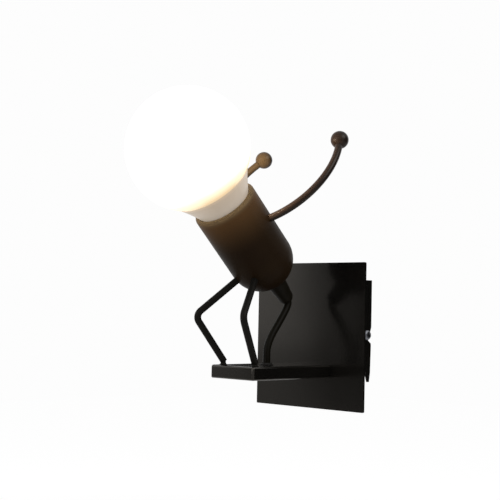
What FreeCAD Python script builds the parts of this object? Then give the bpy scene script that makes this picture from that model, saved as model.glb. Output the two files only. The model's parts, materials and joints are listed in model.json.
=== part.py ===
import FreeCAD, Part
import math
import os

from FreeCAD import Placement, Rotation, Vector

# A wall light in the shape of a diver on a board. Millimetres, +Z up, the wall is the
# plane y = 0 and the light faces -Y. The origin is the middle of the wall strap's two slots.

# Back plate
PLATE_SIZE = 120.0
PLATE_SHEET = 1.5
PLATE_CORNER_RADIUS = 1.0
WALL_TO_PLATE_FRONT = 20.0
SLOTS_ABOVE_PLATE_MIDDLE = 27.0

# Wall strap, with a tail below each end that carries the side screw
STRAP_WIDTH = 101.0
STRAP_HEIGHT = 38.0
STRAP_SHEET = 1.5
STRAP_TO_PLATE_GAP = 0.2
STRAP_TAIL_DROP = 56.0
STRAP_TIP_DROP = 63.5
SLOT_SPACING = 60.0
SLOT_WIDTH = 4.5
SLOT_LENGTH = 14.0
CABLE_HOLE = 12.0
CABLE_BUSH_BORE = 9.0
CABLE_BUSH_LENGTH = 3.5
CABLE_BUSH_LIP = 15.0

# Lugs on the plate's back and the two screws in them
SIDE_SCREW_DROP = 25.5
SIDE_SCREW_FROM_WALL = 6.0
LUG_HEIGHT = 14.0
LUG_SHEET = 1.5
LUG_FOOT = 12.0
LUG_GAP = 0.3

# Shelf: a tray of folded sheet, open below
SHELF_WIDTH = 48.0
SHELF_LENGTH = 88.0
SHELF_DEPTH = 10.5
SHELF_SHEET = 1.5
SHELF_TOP_ABOVE_PLATE_EDGE = 36.2
SHELF_BEND_RADIUS = 1.8
SHELF_EDGE_RADIUS = 1.2
SHELF_SCREW_SPACING = 32.0
SHELF_SCREW_BELOW_TOP = 6.0

# Lamp cup
CUP_TILT = 45.0
MOUTH_FROM_PLATE = 100.8
MOUTH_ABOVE_PLATE_EDGE = 163.1
CUP_DIAMETER = 52.0
CUP_WALL = 1.2
CUP_STRAIGHT = 60.0
CUP_LIP_RADIUS = 3.0

# Arms: one bent rod each, turning on a stud through the cup's side
ARM_ROD = 6.0
ARM_STUD_BELOW_MOUTH = 28.95
ARM_STUD_ANGLE = 30.8
ARM_STRAIGHT = 1.0
ARM_BEND_RADIUS = 62.3
ARM_BEND_ANGLE = 86.7
ARM_SHOULDER_GAP = 0.2
RIGHT_ARM_LIFT = 9.2
LEFT_ARM_LIFT = -3.2
HAND_DIAMETER = 14.4

# Legs: one bent rod each
LEG_ROD = 5.5
HIP_PAST_STRAIGHT = 0.9
HIP_ANGLE = 22.9
THIGH_LENGTH = 43.6
KNEE_RADIUS = 6.6
FOOT_SPREAD = 35.4
FOOT_FROM_PLATE = 80.2
ANKLE_ABOVE_SHELF = 3.3
FOOT_BEAD = 6.4
FOOT_BEAD_HEIGHT = 1.2

# Fasteners
M4 = 4.0
M3 = 3.0
M4_NUT_FLATS = 7.0
M4_NUT_HEIGHT = 3.2
M4_THIN_NUT_HEIGHT = 2.2
M3_NUT_FLATS = 5.5
M3_NUT_HEIGHT = 2.4
WASHER_DIAMETER = 9.0
WASHER_SHEET = 0.7
HOLE_CLEARANCE = 0.3
TURNING_CLEARANCE = 0.1
THREAD_CLEARANCE = 0.04

# Lamp holder for a 27 mm screw cap, on a 10 mm threaded tube
HOLDER_DIAMETER = 38.0
HOLDER_BELOW_MOUTH = 11.0
HOLDER_FLOOR_BELOW_MOUTH = 41.0
HOLDER_FLOOR = 5.0
HOLDER_BASE_HEIGHT = 12.0
HOLDER_BASE_WALL = 3.0
HOLDER_SCREW_RADIUS = 16.2
HOLDER_SCREW_LENGTH = 10.0
SHELL_BORE = 27.3
SHELL_SHEET = 0.5
SHELL_BELOW_RIM = 3.0
TERMINAL_OFFSET = 7.0
TERMINAL_BLOCK = 5.0
LEAF_SHEET = 0.5
LEAF_WIDTH = 5.0
TUBE_DIAMETER = 10.0
TUBE_BORE = 7.0
TUBE_IN_HOLDER = 7.0
TUBE_NUT_FLATS = 13.0
TUBE_NUT_HEIGHT = 2.5
EARTH_TAG_SHEET = 0.8

# Cord grip under the cup
GRIP_TOP = 16.2
GRIP_SHOULDER = 12.0
GRIP_END = 9.0
GRIP_LENGTH = 19.5
GRIP_NOSE = 2.5
GRIP_MOUTH = 8.0
GRIP_SCREW_ABOVE_NOSE = 3.0
GRIP_THREAD_DEPTH = 9.0

# Bulb: a 95 mm globe on a cone-shaped collar
GLOBE_DIAMETER = 95.0
GLOBE_WALL = 1.2
GLOBE_CENTRE_ABOVE_MOUTH = 53.3
BULB_LENGTH = 138.0
SEAM_RADIUS = 33.0
COLLAR_WALL = 1.5
COLLAR_MOUTH_RADIUS = 22.6
COLLAR_FOOT_RADIUS = 17.0
COLLAR_FOOT_CHAMFER = 1.5
COLLAR_WAIST = 3.2
COLLAR_FOOT_BELOW_MOUTH = 9.5
CAP_DIAMETER = 26.4
CAP_SHEET = 0.4
CAP_HEIGHT = 23.0
PIP_DIAMETER = 9.0
PIP_HEIGHT = 1.2
INSULATOR_HEIGHT = 3.4
BOARD_RADIUS = 26.0
BOARD_THICKNESS = 1.6
BOARD_BELOW_SEAM = 4.0
CHIP_COUNT = 16
CHIP_RING = 17.0
DRIVER_WIDTH = 20.0
DRIVER_SHEET = 1.2
CAPACITOR_DIAMETER = 8.0
CAPACITOR_LENGTH = 12.0
CAPACITOR_BELOW_MOUTH = 25.0
TRANSFORMER_WIDTH = 12.0
TRANSFORMER_DEPTH = 9.0
TRANSFORMER_HEIGHT = 11.0
COIL_DIAMETER = 7.0
COIL_LENGTH = 6.0

# Flex and its cores
FLEX_DIAMETER = 6.0
FLEX_FROM_PLATE = 49.2
FLEX_BELOW_SHELF_TOP = 5.8
FLEX_UNDER_SHELF_RADIUS = 5.0
FLEX_END_FROM_WALL = 14.5
FLEX_END_IN_TUBE = 2.0
FLEX_CORNER_PAST_GRIP = 2.2
FLEX_GRIP_RADIUS = 5.4
FLEX_BACK_FROM_CORNER = 6.0
FLEX_DROP_FROM_CORNER = 10.3
FLEX_BOW_OVER_SHELF = 0.3
FLEX_KNEE_ABOVE_SHELF = 17.3
CORE_DIAMETER = 2.0
CORE_FROM_MIDDLE = 1.45
CORE_RUN_FROM_FLEX = 5.0
CORE_RISE_FROM_FLEX = 4.5
GROMMET_GAP = 0.3
SHELF_GROMMET_BODY = 9.0
SHELF_GROMMET_LIP = 11.0
SHELF_GROMMET_HEIGHT = 1.8
PLATE_GROMMET_BODY = 8.2
PLATE_GROMMET_LIP = 10.8
PLATE_GROMMET_LIP_HEIGHT = 1.5

# Terminal block on the plate's back
BLOCK_WIDTH = 30.0
BLOCK_HEIGHT = 17.0
BLOCK_DEPTH = 12.0
BLOCK_BELOW_SLOTS = 36.5
POLE_SPACING = 10.0
INSERT_DIAMETER = 4.6
INSERT_BORE = 3.0
CLAMP_SCREW = 2.6
BLOCK_NOTCH = 2.0
INSERT_INSIDE_BLOCK = 1.0
CORE_IN_BLOCK = 4.0
EARTH_LINK_RISE = 7.0
EARTH_STUD_INSIDE_LUG = 8.4
EARTH_STUD_BELOW_SLOTS = 38.0
STUD_PAST_NUT = 1.0

# Places worked out from the sizes above
X_AXIS = Vector(1, 0, 0)
Y_AXIS = Vector(0, 1, 0)
Z_AXIS = Vector(0, 0, 1)
PLATE_FRONT = -WALL_TO_PLATE_FRONT
PLATE_BACK = PLATE_FRONT + PLATE_SHEET
PLATE_MIDDLE = -SLOTS_ABOVE_PLATE_MIDDLE
PLATE_LOW = PLATE_MIDDLE - PLATE_SIZE / 2
SHELF_TOP = PLATE_LOW + SHELF_TOP_ABOVE_PLATE_EDGE
SHELF_UNDERSIDE = SHELF_TOP - SHELF_SHEET
SHELF_END = PLATE_FRONT - SHELF_LENGTH
CUP_RADIUS = CUP_DIAMETER / 2
HIP_BELOW_MOUTH = CUP_STRAIGHT + HIP_PAST_STRAIGHT
CUP_BORE_RADIUS = CUP_RADIUS - CUP_WALL
CUP_POLE = -CUP_STRAIGHT - CUP_RADIUS
MOUTH = Vector(0, PLATE_FRONT - MOUTH_FROM_PLATE, PLATE_LOW + MOUTH_ABOVE_PLATE_EDGE)
HEAD = Placement(MOUTH, Rotation(X_AXIS, CUP_TILT))
GRIP_LOW = CUP_POLE - GRIP_LENGTH
GRIP_SCREW_HEIGHT = GRIP_LOW + GRIP_NOSE + GRIP_SCREW_ABOVE_NOSE
HOLDER_FLOOR_TOP = -HOLDER_FLOOR_BELOW_MOUTH
HOLDER_FLOOR_LOW = HOLDER_FLOOR_TOP - HOLDER_FLOOR
HOLDER_LOW = HOLDER_FLOOR_LOW - HOLDER_BASE_HEIGHT
BASE_FLOOR = HOLDER_LOW + HOLDER_BASE_WALL
TUBE_TOP = HOLDER_LOW + TUBE_IN_HOLDER
GLOBE_RADIUS = GLOBE_DIAMETER / 2
SEAM = GLOBE_CENTRE_ABOVE_MOUTH - math.sqrt(GLOBE_RADIUS ** 2 - SEAM_RADIUS ** 2)
PIP_LOW = GLOBE_CENTRE_ABOVE_MOUTH + GLOBE_RADIUS - BULB_LENGTH
INSULATOR_LOW = PIP_LOW + PIP_HEIGHT
CAP_LOW = INSULATOR_LOW + INSULATOR_HEIGHT
CAP_TOP = CAP_LOW + CAP_HEIGHT
FLEX_HOLE_Y = PLATE_FRONT - FLEX_FROM_PLATE
FLEX_Z = SHELF_TOP - FLEX_BELOW_SHELF_TOP
BLOCK_MIDDLE = -BLOCK_BELOW_SLOTS
BLOCK_Y = PLATE_BACK + BLOCK_DEPTH / 2
BLOCK_LOW = BLOCK_MIDDLE - BLOCK_HEIGHT / 2
BLOCK_HIGH = BLOCK_MIDDLE + BLOCK_HEIGHT / 2
LUG_OUTSIDE = STRAP_WIDTH / 2 - STRAP_SHEET - LUG_GAP
EARTH_STUD = Vector(LUG_OUTSIDE - LUG_FOOT - EARTH_STUD_INSIDE_LUG, PLATE_BACK,
                    -EARTH_STUD_BELOW_SLOTS)


# General shapes

def cylinder(diameter, height, base=Vector(0, 0, 0), direction=Z_AXIS):
    return Part.makeCylinder(diameter / 2, height, base, direction)


def ring(outer, inner, height, base=Vector(0, 0, 0), direction=Z_AXIS):
    return cylinder(outer, height, base, direction).cut(
        cylinder(inner, height, base, direction))


def box(low, high):
    return Part.makeBox(high[0] - low[0], high[1] - low[1], high[2] - low[2], Vector(*low))


def placed(shape, placement):
    """A copy of the shape, moved from the local frame to the placement's frame."""
    copy = shape.copy()
    copy.Placement = placement.multiply(copy.Placement)
    return copy


def mirrored(shape):
    """The same piece for the other side of the figure, across the plane x = 0."""
    return shape.mirror(Vector(0, 0, 0), X_AXIS)


def both_sides(shape):
    return Part.Compound([shape, mirrored(shape)])


def turned(start, *steps):
    """Turn an outline of (radius, height) points about Z. A step is the next point, or a
    pair of points that an arc passes through."""
    edges = []
    here = start
    for step in steps + (start,):
        if isinstance(step[0], tuple):
            through, there = step
            arc = Part.Arc(Vector(here[0], 0, here[1]), Vector(through[0], 0, through[1]),
                           Vector(there[0], 0, there[1]))
            edges.append(arc.toShape())
        else:
            there = step
            line = Part.LineSegment(Vector(here[0], 0, here[1]), Vector(there[0], 0, there[1]))
            edges.append(line.toShape())
        here = there
    face = Part.Face(Part.Wire(edges))
    return face.revolve(Vector(0, 0, 0), Z_AXIS, 360)


def on_circle(centre_height, radius, degrees):
    """A (radius, height) point on a circle round the axis point at centre_height."""
    angle = math.radians(degrees)
    return radius * math.cos(angle), centre_height + radius * math.sin(angle)


def prism(points, normal_shift):
    """Extrude the closed polygon through the points."""
    wire = Part.makePolygon(list(points) + [points[0]])
    return Part.Face(wire).extrude(normal_shift)


def hex_nut(flats, height, bore):
    """A nut on Z from z = 0, with its corners bevelled at both faces."""
    corner = flats / math.sqrt(3)
    hexagon = [Vector(corner * math.cos(math.radians(60 * i)),
                      corner * math.sin(math.radians(60 * i)), 0) for i in range(6)]
    bevel = corner - flats / 2
    rounding = turned((0, 0), (flats / 2, 0), (corner, bevel * 0.6),
                      (corner, height - bevel * 0.6), (flats / 2, height), (0, height))
    return prism(hexagon, Vector(0, 0, height)).common(rounding).cut(cylinder(bore, height))


def pan_screw(thread, length):
    """A cross-head screw: the thread runs from z = 0 down, the head from z = 0 up."""
    head = thread * 2
    head_height = thread * 0.6
    screw = turned((0, -length), (thread / 2 - 0.3, -length), (thread / 2, 0.3 - length),
                   (thread / 2, 0), (head / 2, 0), (head / 2, head_height * 0.4),
                   ((head * 0.4, head_height * 0.85), (head * 0.25, head_height)),
                   (0, head_height))
    slot = head * 0.2
    arm = thread * 0.13
    cross = box((-slot, -arm, head_height * 0.3), (slot, arm, head_height * 2)).fuse(
        box((-arm, -slot, head_height * 0.3), (arm, slot, head_height * 2))).removeSplitter()
    return screw.cut(cross)


def bent_path(points, radii):
    """Straight runs through the points, with a tangent arc of the given radius at each
    inner point."""
    edges = []
    start = points[0]
    for before, corner, after, radius in zip(points, points[1:], points[2:], radii):
        back = (before - corner).normalize()
        ahead = (after - corner).normalize()
        half = back.getAngle(ahead) / 2
        first = corner + back * (radius / math.tan(half))
        last = corner + ahead * (radius / math.tan(half))
        inward = (back + ahead).normalize()
        crown = corner + inward * (radius / math.sin(half) - radius)
        edges.append(Part.LineSegment(start, first).toShape())
        edges.append(Part.Arc(first, crown, last).toShape())
        start = last
    edges.append(Part.LineSegment(start, points[-1]).toShape())
    return Part.Wire(edges)


def soft_radii(points):
    """At each inner point, the radius whose arc takes 0.45 of the shorter run beside it."""
    radii = []
    for before, corner, after in zip(points, points[1:], points[2:]):
        back = before - corner
        ahead = after - corner
        shorter = min(back.Length, ahead.Length)
        radii.append(0.45 * shorter * math.tan(back.getAngle(ahead) / 2))
    return radii


def rod_along(path, diameter):
    """A round rod along the path."""
    first = path.OrderedEdges[0]
    start = first.valueAt(first.FirstParameter)
    direction = first.tangentAt(first.FirstParameter)
    circle = Part.Wire(Part.Circle(start, direction, diameter / 2).toShape())
    return path.makePipeShell([circle], True, False)


def wire_through(points):
    return rod_along(bent_path(points, soft_radii(points)), CORE_DIAMETER)


def head_point(x, b, h):
    """A point given across the cup, up its back, and along its axis out of the mouth."""
    return HEAD.multVec(Vector(x, b, h))


# Wall strap

def wall_strap():
    """A strip on the wall with slots, folded forward at both ends. Each fold runs on
    downwards as a tail, waisted where the side screw is and drawn out to a tip."""
    half_width = STRAP_WIDTH / 2
    half_height = STRAP_HEIGHT / 2
    web = box((-half_width, -STRAP_SHEET, -half_height), (half_width, 0, half_height))
    slot_reach = (SLOT_LENGTH - SLOT_WIDTH) / 2
    for side in (-1, 1):
        middle = side * SLOT_SPACING / 2
        web = web.cut(box((middle - slot_reach, -STRAP_SHEET, -SLOT_WIDTH / 2),
                          (middle + slot_reach, 0, SLOT_WIDTH / 2)))
        for end in (-slot_reach, slot_reach):
            web = web.cut(cylinder(SLOT_WIDTH, STRAP_SHEET,
                                   Vector(middle + end, -STRAP_SHEET, 0), Y_AXIS))
    web = web.cut(cylinder(CABLE_HOLE, STRAP_SHEET, Vector(0, -STRAP_SHEET, 0), Y_AXIS))
    front = PLATE_BACK + STRAP_TO_PLATE_GAP
    waist = -SIDE_SCREW_DROP - 4.5
    outline = [(front, half_height), (-2.0, half_height), (-0.6, half_height - 0.6),
               (0, half_height - 2.0), (0, -half_height), (-3.7, waist),
               (-0.5, waist - 2.2), (-0.2, waist - 4.0), (-0.3, waist - 9.0),
               (-0.8, -STRAP_TAIL_DROP), (-2.0, -STRAP_TIP_DROP), (-3.8, -STRAP_TIP_DROP),
               (-6.5, -STRAP_TAIL_DROP), (front, -STRAP_TAIL_DROP)]
    inner_face = half_width - STRAP_SHEET
    fold = prism([Vector(inner_face, y, z) for y, z in outline], Vector(STRAP_SHEET, 0, 0))
    fold = fold.cut(cylinder(M4 + HOLE_CLEARANCE, STRAP_SHEET,
                             Vector(inner_face, -SIDE_SCREW_FROM_WALL, -SIDE_SCREW_DROP),
                             X_AXIS))
    return web.fuse([fold, mirrored(fold)]).removeSplitter()


def cable_bush():
    """A rubber bush in the strap's cable hole, with its lip on the room side."""
    bore = cylinder(CABLE_BUSH_BORE, CABLE_BUSH_LENGTH, Vector(0, 0, 0), Y_AXIS * -1)
    body = cylinder(CABLE_HOLE, CABLE_BUSH_LENGTH, Vector(0, 0, 0), Y_AXIS * -1)
    lip = cylinder(CABLE_BUSH_LIP, CABLE_BUSH_LENGTH - STRAP_SHEET,
                   Vector(0, -STRAP_SHEET, 0), Y_AXIS * -1)
    return body.fuse(lip).removeSplitter().cut(bore)


# Back plate

def back_plate():
    """A square of sheet with welded studs behind, and holes for the shelf's screws and
    the flex."""
    half = PLATE_SIZE / 2
    plate = box((-half, PLATE_FRONT, PLATE_MIDDLE - half), (half, PLATE_BACK, PLATE_MIDDLE + half))
    upright = [edge for edge in plate.Edges
               if abs(edge.tangentAt(edge.FirstParameter).y) > 0.99]
    plate = plate.makeFillet(PLATE_CORNER_RADIUS, upright)
    for x in (-SHELF_SCREW_SPACING / 2, SHELF_SCREW_SPACING / 2):
        plate = plate.cut(cylinder(M4 + HOLE_CLEARANCE, PLATE_SHEET,
                                   Vector(x, PLATE_FRONT, SHELF_TOP - SHELF_SCREW_BELOW_TOP),
                                   Y_AXIS))
    plate = plate.cut(cylinder(PLATE_GROMMET_BODY, PLATE_SHEET,
                               Vector(0, PLATE_FRONT, FLEX_Z), Y_AXIS))
    block_stud = cylinder(M3, BLOCK_DEPTH + M3_NUT_HEIGHT + STUD_PAST_NUT,
                          Vector(POLE_SPACING / 2, PLATE_BACK, BLOCK_MIDDLE), Y_AXIS)
    earth_stud = cylinder(M4, EARTH_TAG_SHEET + M4_NUT_HEIGHT + STUD_PAST_NUT, EARTH_STUD,
                          Y_AXIS)
    return plate.fuse([block_stud, earth_stud]).removeSplitter()


def plate_lug():
    """An angle welded to the plate's back, just inside the strap's right-hand fold."""
    outer = LUG_OUTSIDE
    low = -SIDE_SCREW_DROP - LUG_HEIGHT / 2
    high = low + LUG_HEIGHT
    back = -STRAP_SHEET - LUG_GAP
    foot = box((outer - LUG_FOOT, PLATE_BACK, low), (outer, PLATE_BACK + LUG_SHEET, high))
    ear = box((outer - LUG_SHEET, PLATE_BACK, low), (outer, back, high))
    hole = cylinder(M4 + THREAD_CLEARANCE, LUG_SHEET,
                    Vector(outer - LUG_SHEET, -SIDE_SCREW_FROM_WALL, -SIDE_SCREW_DROP), X_AXIS)
    return foot.fuse(ear).removeSplitter().cut(hole)


def side_screw():
    """The screw through the strap's right-hand fold into the lug."""
    place = Placement(Vector(STRAP_WIDTH / 2, -SIDE_SCREW_FROM_WALL, -SIDE_SCREW_DROP),
                      Rotation(Y_AXIS, 90))
    return placed(pan_screw(M4, 8.0), place)


# Shelf

def shelf():
    """A tray of folded sheet, open below, with four lips. Its back lip lies on the plate."""
    half = SHELF_WIDTH / 2
    low = SHELF_TOP - SHELF_DEPTH
    outside = box((-half, SHELF_END, low), (half, PLATE_FRONT, SHELF_TOP))
    bends = [edge for edge in outside.Edges
             if edge.BoundBox.ZMin > SHELF_TOP - 0.01 and edge.BoundBox.YMin < PLATE_FRONT - 0.01]
    bends += [edge for edge in outside.Edges
              if edge.BoundBox.ZLength > 1 and edge.BoundBox.YMax < SHELF_END + 0.01]
    outside = outside.makeFillet(SHELF_BEND_RADIUS, bends)
    lip_edges = [edge for edge in outside.Edges
                 if edge.BoundBox.ZMax < low + 0.01 and edge.BoundBox.YMin < PLATE_FRONT - 0.01]
    outside = outside.makeFillet(SHELF_EDGE_RADIUS, lip_edges)
    hollow = box((SHELF_SHEET - half, SHELF_END + SHELF_SHEET, low),
                 (half - SHELF_SHEET, PLATE_FRONT - SHELF_SHEET, SHELF_UNDERSIDE))
    tray = outside.cut(hollow)
    for x in (-SHELF_SCREW_SPACING / 2, SHELF_SCREW_SPACING / 2):
        tray = tray.cut(cylinder(M4 + HOLE_CLEARANCE, SHELF_SHEET,
                                 Vector(x, PLATE_FRONT, SHELF_TOP - SHELF_SCREW_BELOW_TOP),
                                 Y_AXIS * -1))
    for x in (-FOOT_SPREAD / 2, FOOT_SPREAD / 2):
        tray = tray.cut(cylinder(M4 + HOLE_CLEARANCE, SHELF_SHEET,
                                 Vector(x, PLATE_FRONT - FOOT_FROM_PLATE, SHELF_UNDERSIDE)))
    tray = tray.cut(cylinder(SHELF_GROMMET_BODY, SHELF_SHEET,
                             Vector(0, FLEX_HOLE_Y, SHELF_UNDERSIDE)))
    return tray.cut(cylinder(PLATE_GROMMET_BODY, SHELF_SHEET,
                             Vector(0, PLATE_FRONT, FLEX_Z), Y_AXIS * -1))


def shelf_screw():
    """The right-hand screw from behind the plate into the shelf's back lip."""
    length = PLATE_SHEET + SHELF_SHEET + M4_NUT_HEIGHT + STUD_PAST_NUT
    place = Placement(Vector(SHELF_SCREW_SPACING / 2, PLATE_BACK,
                             SHELF_TOP - SHELF_SCREW_BELOW_TOP), Rotation(X_AXIS, -90))
    return placed(pan_screw(M4, length), place)


def shelf_nut():
    place = Placement(Vector(SHELF_SCREW_SPACING / 2, PLATE_FRONT - SHELF_SHEET,
                             SHELF_TOP - SHELF_SCREW_BELOW_TOP), Rotation(X_AXIS, 90))
    return placed(hex_nut(M4_NUT_FLATS, M4_NUT_HEIGHT, M4 + THREAD_CLEARANCE), place)


def shelf_grommet():
    """A rubber bush where the flex enters the shelf, flared on top."""
    bore = FLEX_DIAMETER / 2 + 2 * GROMMET_GAP
    body = SHELF_GROMMET_BODY / 2
    lip = SHELF_GROMMET_LIP / 2
    under = SHELF_UNDERSIDE - 0.8
    top = SHELF_TOP + SHELF_GROMMET_HEIGHT
    outline = turned((bore, SHELF_UNDERSIDE + 0.2), (bore + 0.5, under), (lip - 0.4, under),
                     (lip - 0.4, SHELF_UNDERSIDE),
                     (body, SHELF_UNDERSIDE), (body, SHELF_TOP), (lip, SHELF_TOP),
                     (lip, SHELF_TOP + 0.6),
                     ((bore + 1.0, SHELF_TOP + 1.0), (bore + 0.5, top)), (bore, top))
    return placed(outline, Placement(Vector(0, FLEX_HOLE_Y, 0), Rotation()))


def plate_grommet():
    """A rubber bush through the plate and the shelf's back lip, with its lip behind."""
    length = PLATE_SHEET + SHELF_SHEET
    start = Vector(0, PLATE_BACK - length, FLEX_Z)
    body = cylinder(PLATE_GROMMET_BODY, length, start, Y_AXIS)
    lip = cylinder(PLATE_GROMMET_LIP, PLATE_GROMMET_LIP_HEIGHT,
                   Vector(0, PLATE_BACK, FLEX_Z), Y_AXIS)
    bore = cylinder(FLEX_DIAMETER + GROMMET_GAP, length + PLATE_GROMMET_LIP_HEIGHT,
                    start, Y_AXIS)
    return body.fuse(lip).removeSplitter().cut(bore)


# Lamp cup

def cup_outside():
    """The cup's filled outer shape in its own frame: mouth at 0, axis along Z."""
    return turned((0, 0), (CUP_RADIUS, 0), (CUP_RADIUS, -CUP_STRAIGHT),
                  (on_circle(-CUP_STRAIGHT, CUP_RADIUS, -45), (0, CUP_POLE)))


def rolled_lip(radius, degrees):
    """A (radius, height) point on the bend round the mouth's rolled-in edge."""
    angle = math.radians(degrees)
    return (CUP_RADIUS - CUP_LIP_RADIUS + radius * math.cos(angle),
            radius * math.sin(angle) - CUP_LIP_RADIUS)


def arm_frame(lift):
    """The right arm's frame: X along its stud, out of the cup, turned up by lift."""
    return Placement(Vector(0, 0, -ARM_STUD_BELOW_MOUTH),
                     Rotation(Z_AXIS, ARM_STUD_ANGLE).multiply(Rotation(X_AXIS, lift)))


def hip_frame():
    """The right leg's frame: X along its stud, out of the cup's front underside."""
    return Placement(Vector(0, 0, -HIP_BELOW_MOUTH), Rotation(Z_AXIS, HIP_ANGLE - 90))


def lamp_cup():
    """A spun cup with a round bottom, a mouth rolled inwards, and five holes."""
    hole = TUBE_DIAMETER / 2 + TURNING_CLEARANCE
    bore = CUP_BORE_RADIUS
    opening = CUP_RADIUS - CUP_LIP_RADIUS
    outer_start = (hole, -CUP_STRAIGHT - math.sqrt(CUP_RADIUS ** 2 - hole ** 2))
    inner_start = (hole, -CUP_STRAIGHT - math.sqrt(bore ** 2 - hole ** 2))
    cup = turned(outer_start,
                 (on_circle(-CUP_STRAIGHT, CUP_RADIUS, -40), (CUP_RADIUS, -CUP_STRAIGHT)),
                 (CUP_RADIUS, -CUP_LIP_RADIUS),
                 (rolled_lip(CUP_LIP_RADIUS, 45), (opening, 0)),
                 (opening, -CUP_WALL),
                 (rolled_lip(CUP_LIP_RADIUS - CUP_WALL, 45), (bore, -CUP_LIP_RADIUS)),
                 (bore, -CUP_STRAIGHT),
                 (on_circle(-CUP_STRAIGHT, bore, -40), inner_start))
    arm_hole = placed(cylinder(M4 + TURNING_CLEARANCE, CUP_DIAMETER, direction=X_AXIS),
                      arm_frame(0))
    hip_hole = placed(cylinder(M4 + HOLE_CLEARANCE, CUP_DIAMETER, direction=X_AXIS),
                      hip_frame())
    for drill in (arm_hole, hip_hole):
        cup = cup.cut(drill)
        cup = cup.cut(mirrored(drill))
    return placed(cup, HEAD)


# Arms

def arm_end():
    """Where the rod stops against the hand, and its direction there, in the arm's frame."""
    seat = math.sqrt((HAND_DIAMETER / 2) ** 2 - (ARM_ROD / 2) ** 2)
    angle = math.radians(ARM_BEND_ANGLE) - seat / ARM_BEND_RADIUS
    start = CUP_RADIUS + ARM_SHOULDER_GAP + ARM_STRAIGHT
    end = Vector(start + ARM_BEND_RADIUS * math.sin(angle),
                 ARM_BEND_RADIUS * (1 - math.cos(angle)), 0)
    return end, Vector(math.cos(angle), math.sin(angle), 0), seat, angle


def arm_rod():
    """The bent rod with its threaded stud through the cup and the one in the hand."""
    end, direction, seat, angle = arm_end()
    shoulder = Vector(CUP_RADIUS + ARM_SHOULDER_GAP, 0, 0)
    start = shoulder + Vector(ARM_STRAIGHT, 0, 0)
    middle = Vector(start.x + ARM_BEND_RADIUS * math.sin(angle / 2),
                    ARM_BEND_RADIUS * (1 - math.cos(angle / 2)), 0)
    path = Part.Wire([Part.LineSegment(shoulder, start).toShape(),
                      Part.Arc(start, middle, end).toShape()])
    rod = rod_along(path, ARM_ROD)
    nut_end = arm_nut_face() - M4_THIN_NUT_HEIGHT - 0.4
    stud = cylinder(M4, shoulder.x - nut_end, Vector(nut_end, 0, 0), X_AXIS)
    hand_stud = cylinder(M4, seat, end, direction)
    return rod.fuse([stud, hand_stud]).removeSplitter()


def arm_washer_face():
    """How far from the cup's axis a flat washer stops against the bore."""
    return math.sqrt(CUP_BORE_RADIUS ** 2 - (WASHER_DIAMETER / 2) ** 2) - 0.05


def arm_nut_face():
    return arm_washer_face() - WASHER_SHEET - TURNING_CLEARANCE


def hand_ball():
    """A ball with a flat where the rod stops and a threaded hole."""
    end, direction, seat, angle = arm_end()
    centre = end + direction * seat
    ball = Part.makeSphere(HAND_DIAMETER / 2, centre)
    flat = cylinder(HAND_DIAMETER, HAND_DIAMETER, end - direction * HAND_DIAMETER, direction)
    hole = cylinder(M4 + THREAD_CLEARANCE, seat + 0.5, end, direction)
    return ball.cut(flat).cut(hole)


def arm_nut():
    nut = hex_nut(M4_NUT_FLATS, M4_THIN_NUT_HEIGHT, M4 + THREAD_CLEARANCE)
    return placed(nut, Placement(Vector(arm_nut_face(), 0, 0), Rotation(Y_AXIS, -90)))


def arm_washer():
    return ring(WASHER_DIAMETER, M4 + 2 * TURNING_CLEARANCE, WASHER_SHEET,
                Vector(arm_washer_face(), 0, 0), X_AXIS * -1)


def right_side(shape, lift):
    return placed(placed(shape, arm_frame(lift)), HEAD)


def left_side(shape, lift):
    return placed(mirrored(placed(shape, arm_frame(lift))), HEAD)


# Legs

def leg():
    """The right leg: a thigh square to the cup, a bent knee, a shin, and a threaded foot
    through the shelf. Its hip end is cut to the cup's curve."""
    frame = HEAD.multiply(hip_frame())
    inside = hip_nut_face() - M4_NUT_HEIGHT - STUD_PAST_NUT
    hip = frame.multVec(Vector(CUP_RADIUS - 2.0, 0, 0))
    knee = frame.multVec(Vector(CUP_RADIUS + THIGH_LENGTH, 0, 0))
    ankle = Vector(FOOT_SPREAD / 2, PLATE_FRONT - FOOT_FROM_PLATE, SHELF_TOP + ANKLE_ABOVE_SHELF)
    toe = ankle + (ankle - knee).normalize() * 0.8
    rod = rod_along(bent_path([hip, knee, toe], [KNEE_RADIUS]), LEG_ROD)
    rod = rod.cut(placed(cup_outside(), HEAD))
    stud = placed(cylinder(M4, CUP_RADIUS + 1.5 - inside, Vector(inside, 0, 0), X_AXIS), frame)
    foot_length = ANKLE_ABOVE_SHELF + SHELF_SHEET + M4_NUT_HEIGHT + STUD_PAST_NUT
    foot = cylinder(M4, foot_length, ankle - Z_AXIS * foot_length)
    bead = turned((0, 0), (FOOT_BEAD / 2, 0), (FOOT_BEAD / 2, 0.2),
                  (M4 / 2, FOOT_BEAD_HEIGHT), (0, FOOT_BEAD_HEIGHT))
    bead = placed(bead, Placement(Vector(ankle.x, ankle.y, SHELF_TOP), Rotation()))
    return rod.fuse([stud, foot, bead]).removeSplitter()


def hip_nut_face():
    """How far from the cup's axis a nut on a leg's stud stops against the bore."""
    corner = M4_NUT_FLATS / math.sqrt(3)
    return math.sqrt(CUP_BORE_RADIUS ** 2 - corner ** 2) - 0.25


def hip_nut():
    nut = placed(hex_nut(M4_NUT_FLATS, M4_NUT_HEIGHT, M4 + THREAD_CLEARANCE),
                 Placement(Vector(hip_nut_face(), 0, 0), Rotation(Y_AXIS, -90)))
    return placed(nut, HEAD.multiply(hip_frame()))


def foot_nut():
    nut = hex_nut(M4_NUT_FLATS, M4_NUT_HEIGHT, M4 + THREAD_CLEARANCE)
    place = Vector(FOOT_SPREAD / 2, PLATE_FRONT - FOOT_FROM_PLATE,
                   SHELF_UNDERSIDE - M4_NUT_HEIGHT)
    return placed(nut, Placement(place, Rotation()))


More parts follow.
